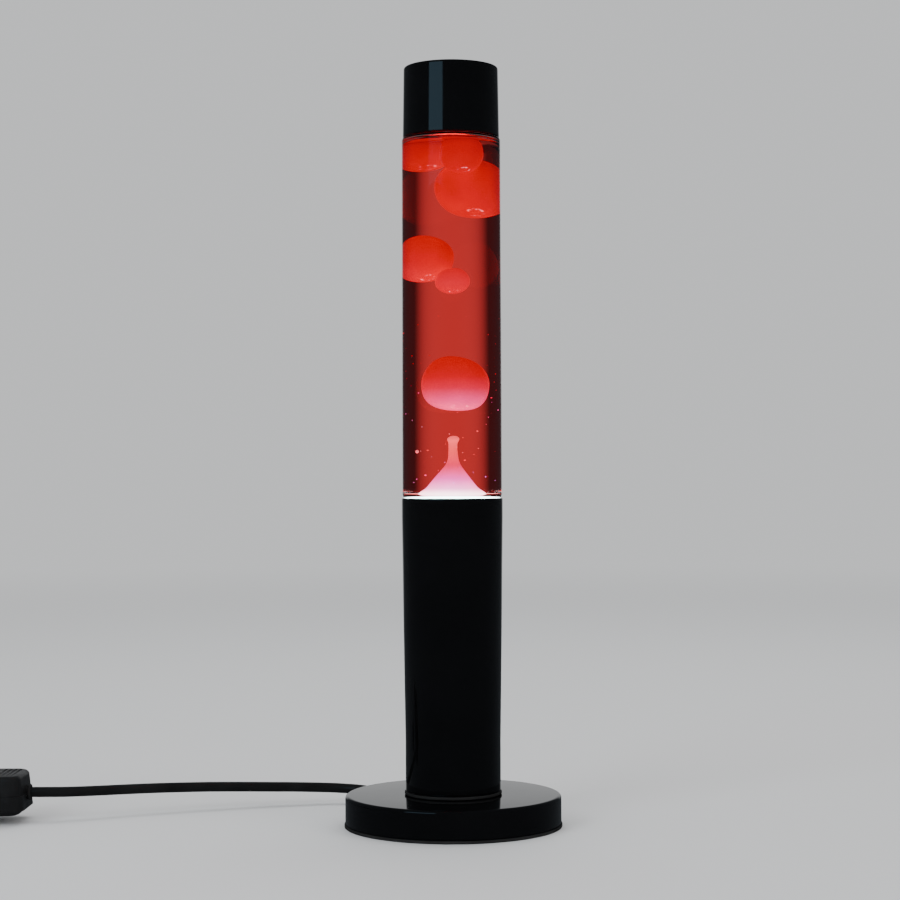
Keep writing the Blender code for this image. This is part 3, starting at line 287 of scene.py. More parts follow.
# Solid finishes: the material's name, its darkest and palest colours, the span of its roughness,
# how metallic, the scale and depth of its grain, and for some the patches' scale and a stretch.
SOLID = {
    "lacquer": (
        "black_lacquer", (0.0014, 0.0014, 0.0016), (0.0024, 0.0024, 0.0027), (0.04, 0.1), 0, 260, 5e-6, 25,
    ),
    "plastic": (
        "black_moulding", (0.007, 0.007, 0.0075), (0.012, 0.012, 0.0125), (0.34, 0.48), 0, 2600, 5e-5,
    ),
    "insert": (
        "insert_moulding", (0.02, 0.02, 0.021), (0.032, 0.032, 0.033), (0.42, 0.56), 0, 2200, 5e-5,
    ),
    "cord": ("cord_sheath", (0.006, 0.006, 0.0062), (0.01, 0.01, 0.0102), (0.3, 0.42), 0, 1500, 3e-5),
    "rubber": ("black_rubber", (0.012, 0.012, 0.012), (0.02, 0.02, 0.02), (0.62, 0.8), 0, 1800, 8e-5),
    "foam": ("pad_foam", (0.01, 0.01, 0.01), (0.022, 0.022, 0.022), (0.8, 0.95), 0, 1400, 1.6e-4),
    "steel": (
        "zinc_steel", (0.46, 0.46, 0.47), (0.62, 0.62, 0.63), (0.22, 0.36), 1.0, 700, 1.2e-5, 60, (1, 1, 6),
    ),
    "iron": ("cast_iron", (0.045, 0.043, 0.04), (0.085, 0.08, 0.075), (0.55, 0.75), 0.6, 650, 2.5e-4),
    "brass": ("brass", (0.62, 0.42, 0.16), (0.8, 0.58, 0.27), (0.18, 0.34), 1.0, 500, 1.5e-5),
    "nickel": (
        "nickel_pins", (0.6, 0.58, 0.55), (0.72, 0.7, 0.67), (0.1, 0.22), 1.0, 900, 8e-6, 60, (0.2, 3, 3),
    ),
    "solder": ("solder", (0.42, 0.42, 0.42), (0.58, 0.58, 0.57), (0.3, 0.5), 1.0, 500, 1e-4),
    "ceramic": ("steatite", (0.74, 0.71, 0.64), (0.82, 0.8, 0.74), (0.28, 0.45), 0, 900, 4e-5),
    "mirror": ("bulb_mirror", (0.8, 0.8, 0.81), (0.9, 0.9, 0.91), (0.04, 0.1), 1.0, 60, 5e-6),
    "tungsten": ("support_wire", (0.3, 0.29, 0.28), (0.42, 0.41, 0.4), (0.3, 0.45), 1.0, 900, 2e-5),
    "brown_wire": ("brown_core", (0.085, 0.03, 0.01), (0.13, 0.05, 0.02), (0.35, 0.5), 0, 900, 2e-5),
    "blue_wire": ("blue_core", (0.008, 0.045, 0.26), (0.015, 0.08, 0.38), (0.35, 0.5), 0, 900, 2e-5),
    "mark": ("rocker_mark", (0.55, 0.55, 0.55), (0.66, 0.66, 0.66), (0.4, 0.5), 0, 900, 2e-5),
}
FINISH = {
    **{finish: surface(*row) for finish, row in SOLID.items()},
    # The bottle's edge colour is a painted shade for its dark rim seen edge on.
    "glass": clear_glass(
        "bottle_clear_glass", 1.5, (0.985, 0.98, 0.98), edge=(0.62, 0.5, 0.5), sheen=(0.3, 0.24, 0.26)
    ),
    "bulb_glass": clear_glass("bulb_clear_glass", 1.45, (0.98, 0.98, 0.98)),
    "liquid": clear_glass(
        "lamp_liquid", 1.36, (1.0, 0.86, 0.86), (1.0, 0.04, 0.02), 60.0, sheen=(0.2, 0.2, 0.2)
    ),
    "wax": wax("wax_painted_glow"),
    "frost": glowing("frosted_glass", (1.0, 0.86, 0.66), 2.2, 0.55),
    "filament": glowing("hot_filament", (1.0, 0.72, 0.36), 14.0, 0.4),
}


# ---------------------------------------------------------------- mesh helpers

def placed(name, data):
    """A new object in the scene."""
    obj = bpy.data.objects.new(name, data)
    bpy.context.scene.collection.objects.link(obj)
    return obj


def baked(name, mesh):
    """A bmesh as mesh data."""
    data = bpy.data.meshes.new(name)
    mesh.to_mesh(data)
    mesh.free()
    return data


def smooth(data, sharp=32):
    """Shades smooth, but for edges sharper than an angle in degrees."""
    data.shade_smooth()
    data.set_sharp_from_angle(angle=radians(sharp))


def piece(name, mesh, finish, body, *stands_for, sharp=32):
    """A new piece from a bmesh, with its finish, riding on a body in place of CAD nodes."""
    bmesh.ops.recalc_face_normals(mesh, faces=mesh.faces)
    data = baked(name, mesh)
    smooth(data, sharp)
    data.materials.append(FINISH[finish])
    return attach(placed(name, data), finish, body, *stands_for)


def attach(obj, finish, body, *stands_for):
    """Puts a piece on its body and hides the CAD nodes it stands for."""
    if body:
        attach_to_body(obj, body)
    if stands_for:
        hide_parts(*stands_for)
    return obj


def eased(corners, steps=5):
    """An outline from (radius, height, distance) corners, each rounded over its distance."""
    points = []
    for i, (r, z, distance) in enumerate(corners):
        here = Vector((r, z))
        if not distance:
            points.append((r, z))
            continue
        start = here + (Vector(corners[i - 1][:2]) - here).normalized() * distance
        end = here + (Vector(corners[(i + 1) % len(corners)][:2]) - here).normalized() * distance
        for k in range(steps + 1):
            t = k / steps
            points.append(tuple((1 - t) ** 2 * start + 2 * t * (1 - t) * here + t * t * end))
    return points


def smooth_points(route, spacing):
    """Points every so often along a Catmull-Rom curve through the given points."""
    spots = [Vector(p) for p in route]
    spots = [2 * spots[0] - spots[1], *spots, 2 * spots[-1] - spots[-2]]
    line = []
    for a, b, c, d in zip(spots, spots[1:], spots[2:], spots[3:]):
        steps = max(1, round((c - b).length / spacing))
        for i in range(steps):
            t = i / steps
            bend = (2 * a - 5 * b + 4 * c - d) * t * t + (3 * b - a - 3 * c + d) * t**3
            line.append(0.5 * (2 * b + (c - a) * t + bend))
    line.append(spots[-2])
    return line


def smooth_outline(outline, spacing):
    """The same for (radius, height) points."""
    return [(p.x, p.y) for p in smooth_points([(r, z, 0) for r, z in outline], spacing)]


def moved(mesh, matrix):
    bmesh.ops.transform(mesh, matrix=matrix, verts=mesh.verts)
    return mesh


def bevel(mesh, edges, offset, segments):
    bmesh.ops.bevel(mesh, geom=edges, offset=offset, segments=segments, profile=0.5, affect="EDGES")


def spun(outline, steps=128, place=None):
    """A closed (radius, height) outline turned about Z. One that starts on the axis ends there too."""
    mesh = bmesh.new()
    points = [mesh.verts.new((r, 0, z)) for r, z in outline]
    edges = [mesh.edges.new(pair) for pair in zip(points, points[1:])]
    if outline[0][0] > 0:
        edges.append(mesh.edges.new((points[-1], points[0])))
    bmesh.ops.spin(
        mesh, geom=points + edges, axis=(0, 0, 1), cent=(0, 0, 0), angle=tau, steps=steps, use_merge=True
    )
    bmesh.ops.remove_doubles(mesh, verts=mesh.verts, dist=1e-7)
    return moved(mesh, place) if place else mesh


def skin(mesh, rings, closed=False):
    """Faces from ring to ring of points, with capped ends unless the last ring meets the first."""
    for a, b in zip(rings, rings[1:] + rings[:1] if closed else rings[1:]):
        for k in range(len(a)):
            mesh.faces.new((a[k], a[(k + 1) % len(a)], b[(k + 1) % len(b)], b[k]))
    if not closed:
        mesh.faces.new(rings[0])
        mesh.faces.new(rings[-1])


def swept(line, radius, sides=10, closed=False):
    """A round tube along a list of points."""
    mesh = bmesh.new()
    count = len(line)
    rings = []
    across = None
    for i, spot in enumerate(line):
        after = line[(i + 1) % count] if closed or i < count - 1 else spot
        before = line[i - 1] if closed or i else spot
        along = (after - before).normalized()
        if across is None:
            across = along.orthogonal().normalized()
        across = (across - along * across.dot(along)).normalized()
        other = along.cross(across)
        angles = [tau * k / sides for k in range(sides)]
        ways = [cos(a) * across + sin(a) * other for a in angles]
        rings.append([mesh.verts.new(spot + radius * way) for way in ways])
    skin(mesh, rings, closed)
    return mesh


def merged(*meshes):
    """Several bmeshes as one."""
    whole = bmesh.new()
    for part in meshes:
        data = baked("part", part)
        whole.from_mesh(data)
        bpy.data.meshes.remove(data)
    return whole


def sharp_box(size):
    mesh = bmesh.new()
    bmesh.ops.create_cube(mesh, size=1)
    bmesh.ops.scale(mesh, vec=size, verts=mesh.verts)
    return mesh


def block(size, centre, rounding, segments=4):
    """A box with rounded edges."""
    mesh = sharp_box(size)
    bevel(mesh, mesh.edges[:], rounding, segments)
    return moved(mesh, Matrix.Translation(centre))


def carve(obj, *cutters):
    """Cuts helper meshes out of a piece, for good."""
    for k, mesh in enumerate(cutters):
        bmesh.ops.recalc_face_normals(mesh, faces=mesh.faces)
        helper = placed(f"cutter_{k}", baked("cutter", mesh))
        modifier = obj.modifiers.new("cut", "BOOLEAN")
        modifier.operation = "DIFFERENCE"
        modifier.object = helper
        modifier.solver = "EXACT"
        bpy.context.view_layer.update()
        graph = bpy.context.evaluated_depsgraph_get()
        finished = bpy.data.meshes.new_from_object(obj.evaluated_get(graph))
        obj.modifiers.clear()
        obj.data = finished
        bpy.data.objects.remove(helper)
    smooth(obj.data)


def pointing(spot, direction):
    """A matrix that takes the Z axis to a direction, at a place."""
    return Matrix.Translation(spot) @ Vector(direction).to_track_quat("Z", "Y").to_matrix().to_4x4()


# ---------------------------------------------------------------- camera, cords

def make_camera():
    data = bpy.data.cameras.new("camera")
    data.lens = CAMERA_LENS
    data.sensor_width = 36
    camera = placed("camera", data)
    turn = Matrix.Rotation(pi / 2 + CAMERA_PITCH, 4, "X") @ Matrix.Rotation(CAMERA_ROLL, 4, "Z")
    camera.matrix_world = Matrix.Translation(CAMERA_PLACE) @ turn
    bpy.context.scene.camera = camera


def eased_step(value, start, end):
    """How far a value has come from one number to another, from 0 to 1, easing at both ends."""
    t = min(1.0, max(0.0, (value - start) / (end - start)))
    return t * t * (3 - 2 * t)


def coil_points():
    """Flat turns, each stepping to the next layer: down the outer column, in at the bottom, and
    up the inner column, whose steps lie further round."""
    outer = COIL_RADIUS + CORD / 2
    per_turn = 40
    turns = 2 * COIL_LAYERS - 0.75
    points = []
    for i in range(round(turns * per_turn) + 1):
        t = i / per_turn
        whole = int(t)
        if whole < COIL_LAYERS:
            layer = max(0.0, COIL_LAYERS - 1 - whole - eased_step(t - whole, 0.85, 1.0))
        else:
            layer = whole - COIL_LAYERS + eased_step(t - whole, 0.55, 0.7)
        layer = min(layer, COIL_LAYERS - 1)
        radius = outer - CORD * eased_step(t, COIL_LAYERS - 0.3, COIL_LAYERS - 0.05)
        angle = -pi / 2 - tau * t
        height = COIL_LIFT + CORD * (0.5 + layer)
        points.append(COIL_CENTRE + Vector((radius * cos(angle), radius * sin(angle), height)))
    return points


def cord_curve(name, line, *stands_for):
    curve = bpy.data.curves.new(name, "CURVE")
    curve.dimensions = "3D"
    spline = curve.splines.new("POLY")
    spline.points.add(len(line) - 1)
    for point, spot in zip(spline.points, line):
        point.co = (*spot, 1)
    curve.bevel_depth = CORD / 2
    curve.bevel_resolution = 6
    curve.use_fill_caps = True
    curve.materials.append(FINISH["cord"])
    return attach(placed(name, curve), "cord", "base", *stands_for)


def strain_relief(name, spot, direction, length, wide, narrow, *stands_for, neck=0.0):
    """A tapered sleeve with rings cut into it, closed around the cord at its thin end. The neck
    is the stretch that goes back into the housing."""
    corners = [(CORD_GRIP, -neck, 0)]
    if neck:
        corners += [(wide - 0.0009, -neck, 0.0001), (wide - 0.0009, 0, 0.0001)]
    corners += [(wide, 0, 0.0001), (wide, 0.0022, 0.0004)]
    rings = 6
    usable = length - 0.0045
    for k in range(rings):
        start = 0.0028 + usable * k / rings
        end = start + usable / rings
        for z, sunk in ((start, 0.0006), (start + 0.0009, 0.0006), (start + 0.001, 0), (end, 0)):
            share = z / length
            corners.append((wide + (narrow - wide) * share - sunk, z, 0.00004))
    corners += [(narrow, length, 0.0003), (CORD_GRIP, length, 0.0001)]
    mesh = spun(eased(corners, 2), 64, pointing(spot, direction))
    return piece(name, mesh, "rubber", "base", *stands_for)


def make_tie():
    """A flat tie round the coil's turns, at the side nearest the switch."""
    inside = (CORD + 0.0004, COIL_LAYERS * CORD / 2 + 0.0003)
    thickness = 0.0008
    width = 0.0065
    mesh = bmesh.new()
    middle = COIL_LIFT + COIL_LAYERS * CORD / 2

    def loop(extra, x):
        points = []
        a, b, r = inside[0] + extra, inside[1] + extra, 0.0016 + extra
        for quarter, (across, up) in enumerate(((1, 1), (-1, 1), (-1, -1), (1, -1))):
            for k in range(7):
                t = radians(90 * quarter + 15 * k)
                z = middle + up * (b - r) + r * sin(t)
                points.append(Vector((x, across * (a - r) + r * cos(t), max(0.0002, z))))
        return points

    rings = []
    for extra, x in ((0, -width / 2), (0, width / 2), (thickness, width / 2), (thickness, -width / 2)):
        rings.append([mesh.verts.new(p) for p in loop(extra, x)])
    skin(mesh, rings, closed=True)
    buckle = block((0.0078, 0.006, 0.0022), (0, 0, 2 * middle + 0.001), 0.0005)
    angle = radians(-40)
    spot = COIL_CENTRE + Vector((COIL_RADIUS * cos(angle), COIL_RADIUS * sin(angle), 0))
    turn = Matrix.Translation(spot) @ Matrix.Rotation(angle - pi / 2, 4, "Z")
    return piece("cord_tie", moved(merged(mesh, buckle), turn), "rubber", "base")


def make_plug():
    low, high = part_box("plug_body")
    centre = (low + high) / 2
    length, width, thickness = high - low
    mesh = bmesh.new()
    stations = 22
    sides = 48
    rings = []
    for i in range(stations + 1):
        t = i / stations
        flare = t * t * (3 - 2 * t)
        half_width = width / 2 * (0.44 + 0.56 * min(1.0, 1.25 * flare))
        half_height = thickness / 2 * (0.86 + 0.14 * flare)
        end = min(1.0, 8 * t, 10 * (1 - t))
        ease = 0.9 + 0.1 * sqrt(max(0.0, 1 - (1 - end) ** 2))
        rib = 0.0004 if 0.18 < t < 0.72 and i % 2 else 0.0
        ring = []
        for k in range(sides):
            a = tau * k / sides
            c, s = cos(a), sin(a)
            power = 0.42
            y = half_width * ease * (abs(c) ** power) * (1 if c > 0 else -1)
            z = (half_height * ease - rib) * (abs(s) ** power) * (1 if s > 0 else -1)
            ring.append(mesh.verts.new((low.x + length * t, centre.y + y, centre.z + z)))
        rings.append(ring)
    skin(mesh, rings)
    pieces = [piece("plug_moulding", mesh, "plastic", "base", "plug_body", sharp=50)]
    for side in ("left", "right"):
        node = f"plug_pin_{side}"
        start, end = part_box(node)
        spot = (start.x - 0.002, (start.y + end.y) / 2, (start.z + end.z) / 2)
        radius = (end.z - start.z) / 2
        reach = end.x - spot[0]
        sleeve = 0.011
        core = radius - 0.0004
        metal = [
            (0, 0, 0), (core, 0, 0), (core, sleeve, 0.0001), (radius, sleeve, 0.0001),
            (radius, reach - 0.0012, 0.0006), (0.5 * radius, reach, 0.0005), (0, reach, 0),
        ]
        place = pointing(spot, (1, 0, 0))
        pieces.append(piece(f"pin_{side}", spun(eased(metal), 40, place), "nickel", "base", node))
        skin_radius = radius - 0.00005
        cover = [(core, 0, 0), (skin_radius, 0, 0), (skin_radius, sleeve, 0.0002), (core, sleeve, 0)]
        pieces.append(piece(f"pin_sleeve_{side}", spun(eased(cover), 40, place), "plastic", "base"))
    return pieces


def make_cords():
    lead = smooth_points(LEAD_ROUTE, 0.0015)
    tail = smooth_points(TAIL_ROUTE, 0.003) + coil_points() + smooth_points(END_ROUTE, 0.002)
    base_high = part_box("base_shell")[1]
    out = Vector((cos(radians(125)), sin(radians(125)), 0))
    root = out * base_high.x + Vector((0, 0, LEAD_ROUTE[0][2]))
    tip = out * ((Vector(LEAD_ROUTE[0]) - root).dot(out) - 0.0006)
    gland = strain_relief(
        "base_strain_relief", root, out, tip.length, 0.0049, CORD / 2 + 0.0008, "cord_gland", neck=0.0028
    )
    lead_piece = cord_curve("lead_to_switch", lead, "cord_lead")
    tail_piece = cord_curve("lead_to_plug", tail, "cord_tail", "cord_coil", "cord_end")
    relief_low, relief_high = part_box("plug_relief")
    relief_start = Vector((relief_high.x, END_ROUTE[-1][1], END_ROUTE[-1][2]))
    relief = strain_relief(
        "plug_strain_relief", relief_start, (-1, 0, 0), relief_high.x - relief_low.x, 0.0054,
        CORD / 2 + 0.0008, "plug_relief", neck=0.0008,
    )
    on_lead = [gland, *make_switch()]
    on_tail = [make_tie(), relief, *make_plug()]


# ---------------------------------------------------------------- in-line switch

def screw(name, node, cross=0.0022):
    """A pan-head screw, head down, with a cross recess."""
    low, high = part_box(node)
    x, y = (low.x + high.x) / 2, (low.y + high.y) / 2
    head = (high.x - low.x) / 2
    shank = 0.0014
    head_top = low.z + 0.001
    corners = [(0, low.z, 0), (head, low.z, 0.0006), (head, head_top, 0.0001)]
    corners.append((shank, head_top, 0.0001))
    z = head_top + 0.0008
    while z < high.z - 0.0012:
        corners += [(shank, z, 0), (shank + 0.00025, z + 0.0002, 0), (shank, z + 0.0004, 0)]
        z += 0.0006
    corners += [(shank, high.z - 0.0008, 0), (0.0004, high.z, 0), (0, high.z, 0)]
    obj = piece(name, spun(eased(corners, 4), 40, Matrix.Translation((x, y, 0))), "steel", "base", node)
    depth = 0.0012
    bars = [
        block((cross, 0.0006, depth), (x, y, low.z), 0.0001, 1),
        block((0.0006, cross, depth), (x, y, low.z), 0.0001, 1),
    ]
    carve(obj, *bars)
    return obj


def round_box(size, corner):
    """A box with its upright edges rounded."""
    mesh = sharp_box(size)
    upright = [e for e in mesh.edges if abs(e.verts[0].co.z - e.verts[1].co.z) > size[2] / 2]
    bevel(mesh, upright, corner, 10)
    return mesh


def case_half(name, node, outer):
    """One half of the switch's case: drafted, rounded outside, hollow, with a shadow line where
    the halves meet."""
    low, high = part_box(node)
    size = high - low
    centre = (low + high) / 2
    draft, corner = 0.0018, 0.008
    mesh = round_box(size, corner)
    face = [v for v in mesh.verts if v.co.z * outer > 0]
    for vert in face:
        vert.co.x *= 1 - 2 * draft / size.x
        vert.co.y *= 1 - draft / size.y
    rim = [e for e in mesh.edges if all(v in face for v in e.verts)]
    bevel(mesh, rim, 0.0026, 7)
    lip = [e for e in mesh.edges if all(v.co.z * outer < 0 for v in e.verts) and len(e.link_faces) == 2
           and any(len(f.verts) > 8 for f in e.link_faces)]
    bevel(mesh, lip, 0.00035, 2)
    half = piece(name, moved(mesh, Matrix.Translation(centre)), "plastic", "base", node)
    wall = 0.0038
    room = round_box((size.x - 2 * wall, size.y - 2 * wall, size.z), corner - wall)
    carve(half, moved(room, Matrix.Translation(centre - Vector((0, 0, outer * 0.002)))))
    return half


def make_switch():
    base_low, base_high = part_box("switch_base")
    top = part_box("switch_cover")[1].z
    middle = (base_low + base_high) / 2
    half_length = (base_high.x - base_low.x) / 2
    hole = [(0, -0.006), (0.0037, -0.006), (0.0037, 0.006), (0, 0.006)]
    height = LEAD_ROUTE[-1][2]
    base = case_half("switch_case_lower", "switch_base", -1)
    cover = case_half("switch_case_upper", "switch_cover", 1)
    made = [base, cover]
    for half in (base, cover):
        for side in (-1, 1):
            spot = (middle.x + side * half_length, middle.y, height)
            carve(half, spun(hole, 48, pointing(spot, (1, 0, 0))))
    window = (0.0234, 0.011, 0.012)
    carve(cover, block(window, (middle.x, middle.y, top), 0.0012, 3))
    recess = (0.029, 0.0166, 0.0016)
    carve(cover, block(recess, (middle.x, middle.y, top + 0.0002), 0.0006, 3))
    for side in (-1, 1):
        for k in range(4):
            x = middle.x + side * (0.0222 + 0.0026 * k)
            carve(cover, block((0.0012, 0.025, 0.001), (x, middle.y, top + 0.0001), 0.0003, 2))
    for side, label, node in ((1, "lamp", "switch_grommet_in"), (-1, "plug", "switch_grommet_out")):
        low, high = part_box(node)
        inner = middle.x + side * (half_length - 0.003)
        face = low.x if side > 0 else high.x
        far = high.x if side > 0 else low.x
        reach = abs(far - inner)
        rim = abs(face - inner)
        corners = [
            (CORD_GRIP, 0, 0), (0.0036, 0, 0.0001), (0.0036, rim, 0.0001), (0.0043, rim, 0.0001),
            (0.0043, reach, 0.0006), (CORD_GRIP, reach, 0.0002),
        ]
        place = pointing((inner, middle.y, height), (side, 0, 0))
        grommet = spun(eased(corners), 64, place)
        made.append(piece(f"switch_grommet_{label}", grommet, "rubber", "base", node))
    for k in range(1, 5):
        low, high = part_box(f"switch_foot_{k}")
        radius = (high.x - low.x) / 2
        corners = [
            (0, low.z, 0), (radius - 0.0006, low.z, 0.0004), (radius, low.z + 0.0012, 0.0006),
            (radius - 0.0002, high.z + 0.0003, 0), (0, high.z + 0.0003, 0),
        ]
        spot = Matrix.Translation(((low.x + high.x) / 2, (low.y + high.y) / 2, 0))
        pad = spun(eased(corners), 48, spot)
        made.append(piece(f"switch_pad_{k}", pad, "rubber", "base", f"switch_foot_{k}"))
    for k in (1, 2):
        made.append(screw(f"case_screw_{k}", f"switch_screw_{k}"))
    made += make_rocker()
    return made


def make_rocker():
    """The rocker, tipped to its on side, with a raised bar and ring as on and off marks."""
    joint = next(j for j in frame["joints"] if j["name"] == "switch_rock")
    pivot = Matrix.Translation(joint["pos_m"]) @ Matrix.Rotation(radians(9), 4, "Y")
    half, width, rise = 0.0106, 0.0104, 0.0038
    profile = [(-0.004, -0.005), (0.004, -0.005), (half, -0.001), (half, rise)]
    dish = 12
    for k in range(1, dish):
        x = half - 2 * half * k / dish
        profile.append((x, rise - 0.0012 * (1 - abs(x) / half) ** 1.2))
    profile += [(-half, rise), (-half, -0.001)]
    mesh = bmesh.new()
    corners = [mesh.verts.new((x, -width / 2, z)) for x, z in profile]
    side = mesh.faces.new(corners)
    geometry = bmesh.ops.extrude_face_region(mesh, geom=[side])["geom"]
    far = [v for v in geometry if isinstance(v, bmesh.types.BMVert)]
    bmesh.ops.translate(mesh, verts=far, vec=(0, width, 0))
    flanks = [f for f in mesh.faces if len(f.verts) > 4]
    rim = [e for f in flanks for e in f.edges]
    bevel(mesh, rim, 0.0005, 3)
    pin = eased([(0, -0.007, 0), (0.001, -0.007, 0.0002), (0.001, 0.007, 0.0002), (0, 0.007, 0)])
    whole = moved(merged(mesh, spun(pin, 24, Matrix.Rotation(pi / 2, 4, "X"))), pivot)
    rocker = piece("rocker_button", whole, "plastic", "rocker", "switch_rocker")
    off, level, size = 0.0068, rise - 0.0004, 0.0014
    bar = block((0.0034, 0.0007, 0.0005), (off, 0, level), 0.00015, 2)
    angles = [tau * k / 32 for k in range(32)]
    line = [Vector((size * cos(a) - off, size * sin(a), level)) for a in angles]
    raised = moved(merged(bar, swept(line, 0.0003, 8, closed=True)), pivot)
    return [rocker, piece("rocker_marks", raised, "mark", "rocker")]


# ---------------------------------------------------------------- base and stem

def make_base():
    pad_low, pad_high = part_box("base_pad")
    low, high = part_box("base_shell")
    inner = 0.0489
    corners = [
        (inner, pad_low.z, 0.0003), (pad_high.x, pad_low.z, 0.0003), (pad_high.x, pad_high.z, 0.0004),
        (inner, pad_high.z, 0.0003),
    ]
    piece("foam_pad", spun(eased(corners), 192), "foam", "base", "base_pad")
    wall = 0.002
    hole = STUD_HOLE
    shell = [
        (hole, high.z - wall, 0), (high.x - wall, high.z - wall, 0.001), (high.x - wall, low.z, 0.0003),
        (high.x, low.z, 0.0006), (high.x, high.z, 0.0022), (0.4 * high.x, high.z + 0.00001, 0),
        (hole, high.z, 0),
    ]
    piece("base_disc", spun(eased(shell, 8), 256), "lacquer", "base", "base_shell")
    cover_low, cover_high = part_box("base_cover")
    rim, under, over = cover_high.x, cover_low.z, cover_high.z
    cover = [
        (0, under, 0), (0.3 * rim, under, 0.0006), (0.33 * rim, under + 0.0006, 0.0006),
        (0.78 * rim, under + 0.0006, 0.0006), (0.81 * rim, under, 0.0006), (rim, under, 0.0003),
        (rim, over, 0.0003), (0.8 * rim, over, 0.0006), (0.77 * rim, over + 0.0002, 0.0006),
        (0, over + 0.0002, 0),
    ]
    plate = piece("bottom_plate", spun(eased(cover), 160), "steel", "base", "base_cover")
    for k in range(1, 4):
        screw_low, screw_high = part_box(f"cover_screw_{k}")
        spot = ((screw_low.x + screw_high.x) / 2, (screw_low.y + screw_high.y) / 2, cover_low.z)
        hole_outline = [(0, -0.003), (0.0018, -0.003), (0.0018, 0.004), (0, 0.004)]
        carve(plate, spun(hole_outline, 32, Matrix.Translation(spot)))
        screw(f"plate_screw_{k}", f"cover_screw_{k}")
    low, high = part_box("stem_gasket")
    ring = [(hole, low.z, 0), (high.x, low.z, 0.0005), (high.x, high.z, 0.0005), (hole, high.z, 0)]
    piece("foot_ring", spun(eased(ring), 160), "rubber", "base", "stem_gasket")


def stem_profile(low, high, foot, rim):
    """The stem's outside from its foot to its rim: straight, an even flare, straight."""
    start, end = low + 0.026, high - 0.01
    points = []
    for k in range(41):
        t = k / 40
        points.append((foot + (rim - foot) * t, start + (end - start) * t))
    ends = [(foot, low + 0.0006), (foot, low + 0.0012)], [(rim, high - 0.0012), (rim, high - 0.0005)]
    return [*ends[0], *points, *ends[1]]


def make_stem():
    low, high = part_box("stem_shell")
    foot, rim, wall = STEM_FOOT, high.x, 0.001
    outside = stem_profile(low.z, high.z, foot, rim)
    inside = [(r - wall, z) for r, z in reversed(outside)]
    lip, floor, room = high.z - 0.0001, low.z + 0.0015, foot - wall
    outline = [
        (STUD_HOLE, low.z), (foot - 0.0006, low.z), (foot - 0.0001, low.z + 0.0002), *outside,
        (rim - 0.0002, lip), (rim - 0.0005, high.z), (rim - wall + 0.0001, lip), *inside[:-1],
        (room, low.z + 0.0022), (room - 0.0008, floor), (STUD_HOLE, floor),
    ]
    piece("stem_tube", spun(outline, 224), "lacquer", "base", "stem_shell")
    low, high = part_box("seat_ring")
    bore, ledge = SEAT_BORE, high.z - 0.0006
    seat = [
        (bore, low.z, 0.0003), (high.x, low.z, 0.0003), (high.x, high.z, 0.0003),
        (high.x - 0.0022, high.z, 0.0004), (high.x - 0.003, ledge, 0.0004),
        (bore + 0.001, ledge, 0.0004), (bore, high.z - 0.0014, 0.0003),
    ]
    piece("bottle_seat", spun(eased(seat), 128), "steel", "base", "seat_ring")


def threaded(outer, low, high, pitch, depth):
    """Outline of a stretch of rounded thread, from low to high."""
    points = []
    turns = max(1, round((high - low) / pitch))
    for k in range(turns * 6 + 1):
        z = low + (high - low) * k / (turns * 6)
        points.append((outer - depth * (0.5 - 0.5 * cos(tau * k / 6)), z))
    return points


def make_holder():
    low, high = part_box("threaded_tube")
    outline = [(0.0036, low.z), *threaded(high.x, low.z, high.z, 0.001, 0.0004), (0.0036, high.z)]
    piece("hollow_stud", spun(outline, 64), "steel", "base", "threaded_tube")
    low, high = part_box("holder_base")
    radius, wall = high.x, 0.0025
    cup = [
        (STUD_HOLE, low.z, 0), (radius, low.z, 0.0015), (radius, high.z, 0.0003),
        (radius - wall, high.z, 0.0002), (radius - wall, low.z + 0.003, 0.0004),
        (STUD_HOLE, low.z + 0.003, 0),
    ]
    piece("holder_cup", spun(eased(cup), 96), "plastic", "base", "holder_base")
    low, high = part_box("holder_skirt")
    skirt = [
        (radius - wall, low.z), *threaded(radius, low.z + 0.001, high.z - 0.006, 0.002, 0.0006),
        (radius, high.z - 0.005), (radius, high.z - 0.0006), (radius - 0.0006, high.z),
        (radius - wall, high.z),
    ]
    piece("holder_sleeve", spun(skirt, 96), "plastic", "base", "holder_skirt")
    low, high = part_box("holder_screw_shell")
    outer = threaded(high.x, low.z, high.z - 0.001, 0.0028, 0.0004)
    inner = [(r - 0.00045, z) for r, z in reversed(outer)]
    thread = spun([*outer, (high.x, high.z), (high.x - 0.0004, high.z), *inner], 72)
    piece("lamp_thread", thread, "brass", "base", "holder_screw_shell")
    low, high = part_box("holder_contact")
    contact = block(high - low, (low + high) / 2, 0.0002, 2)
    piece("centre_contact", contact, "brass", "base", "holder_contact")


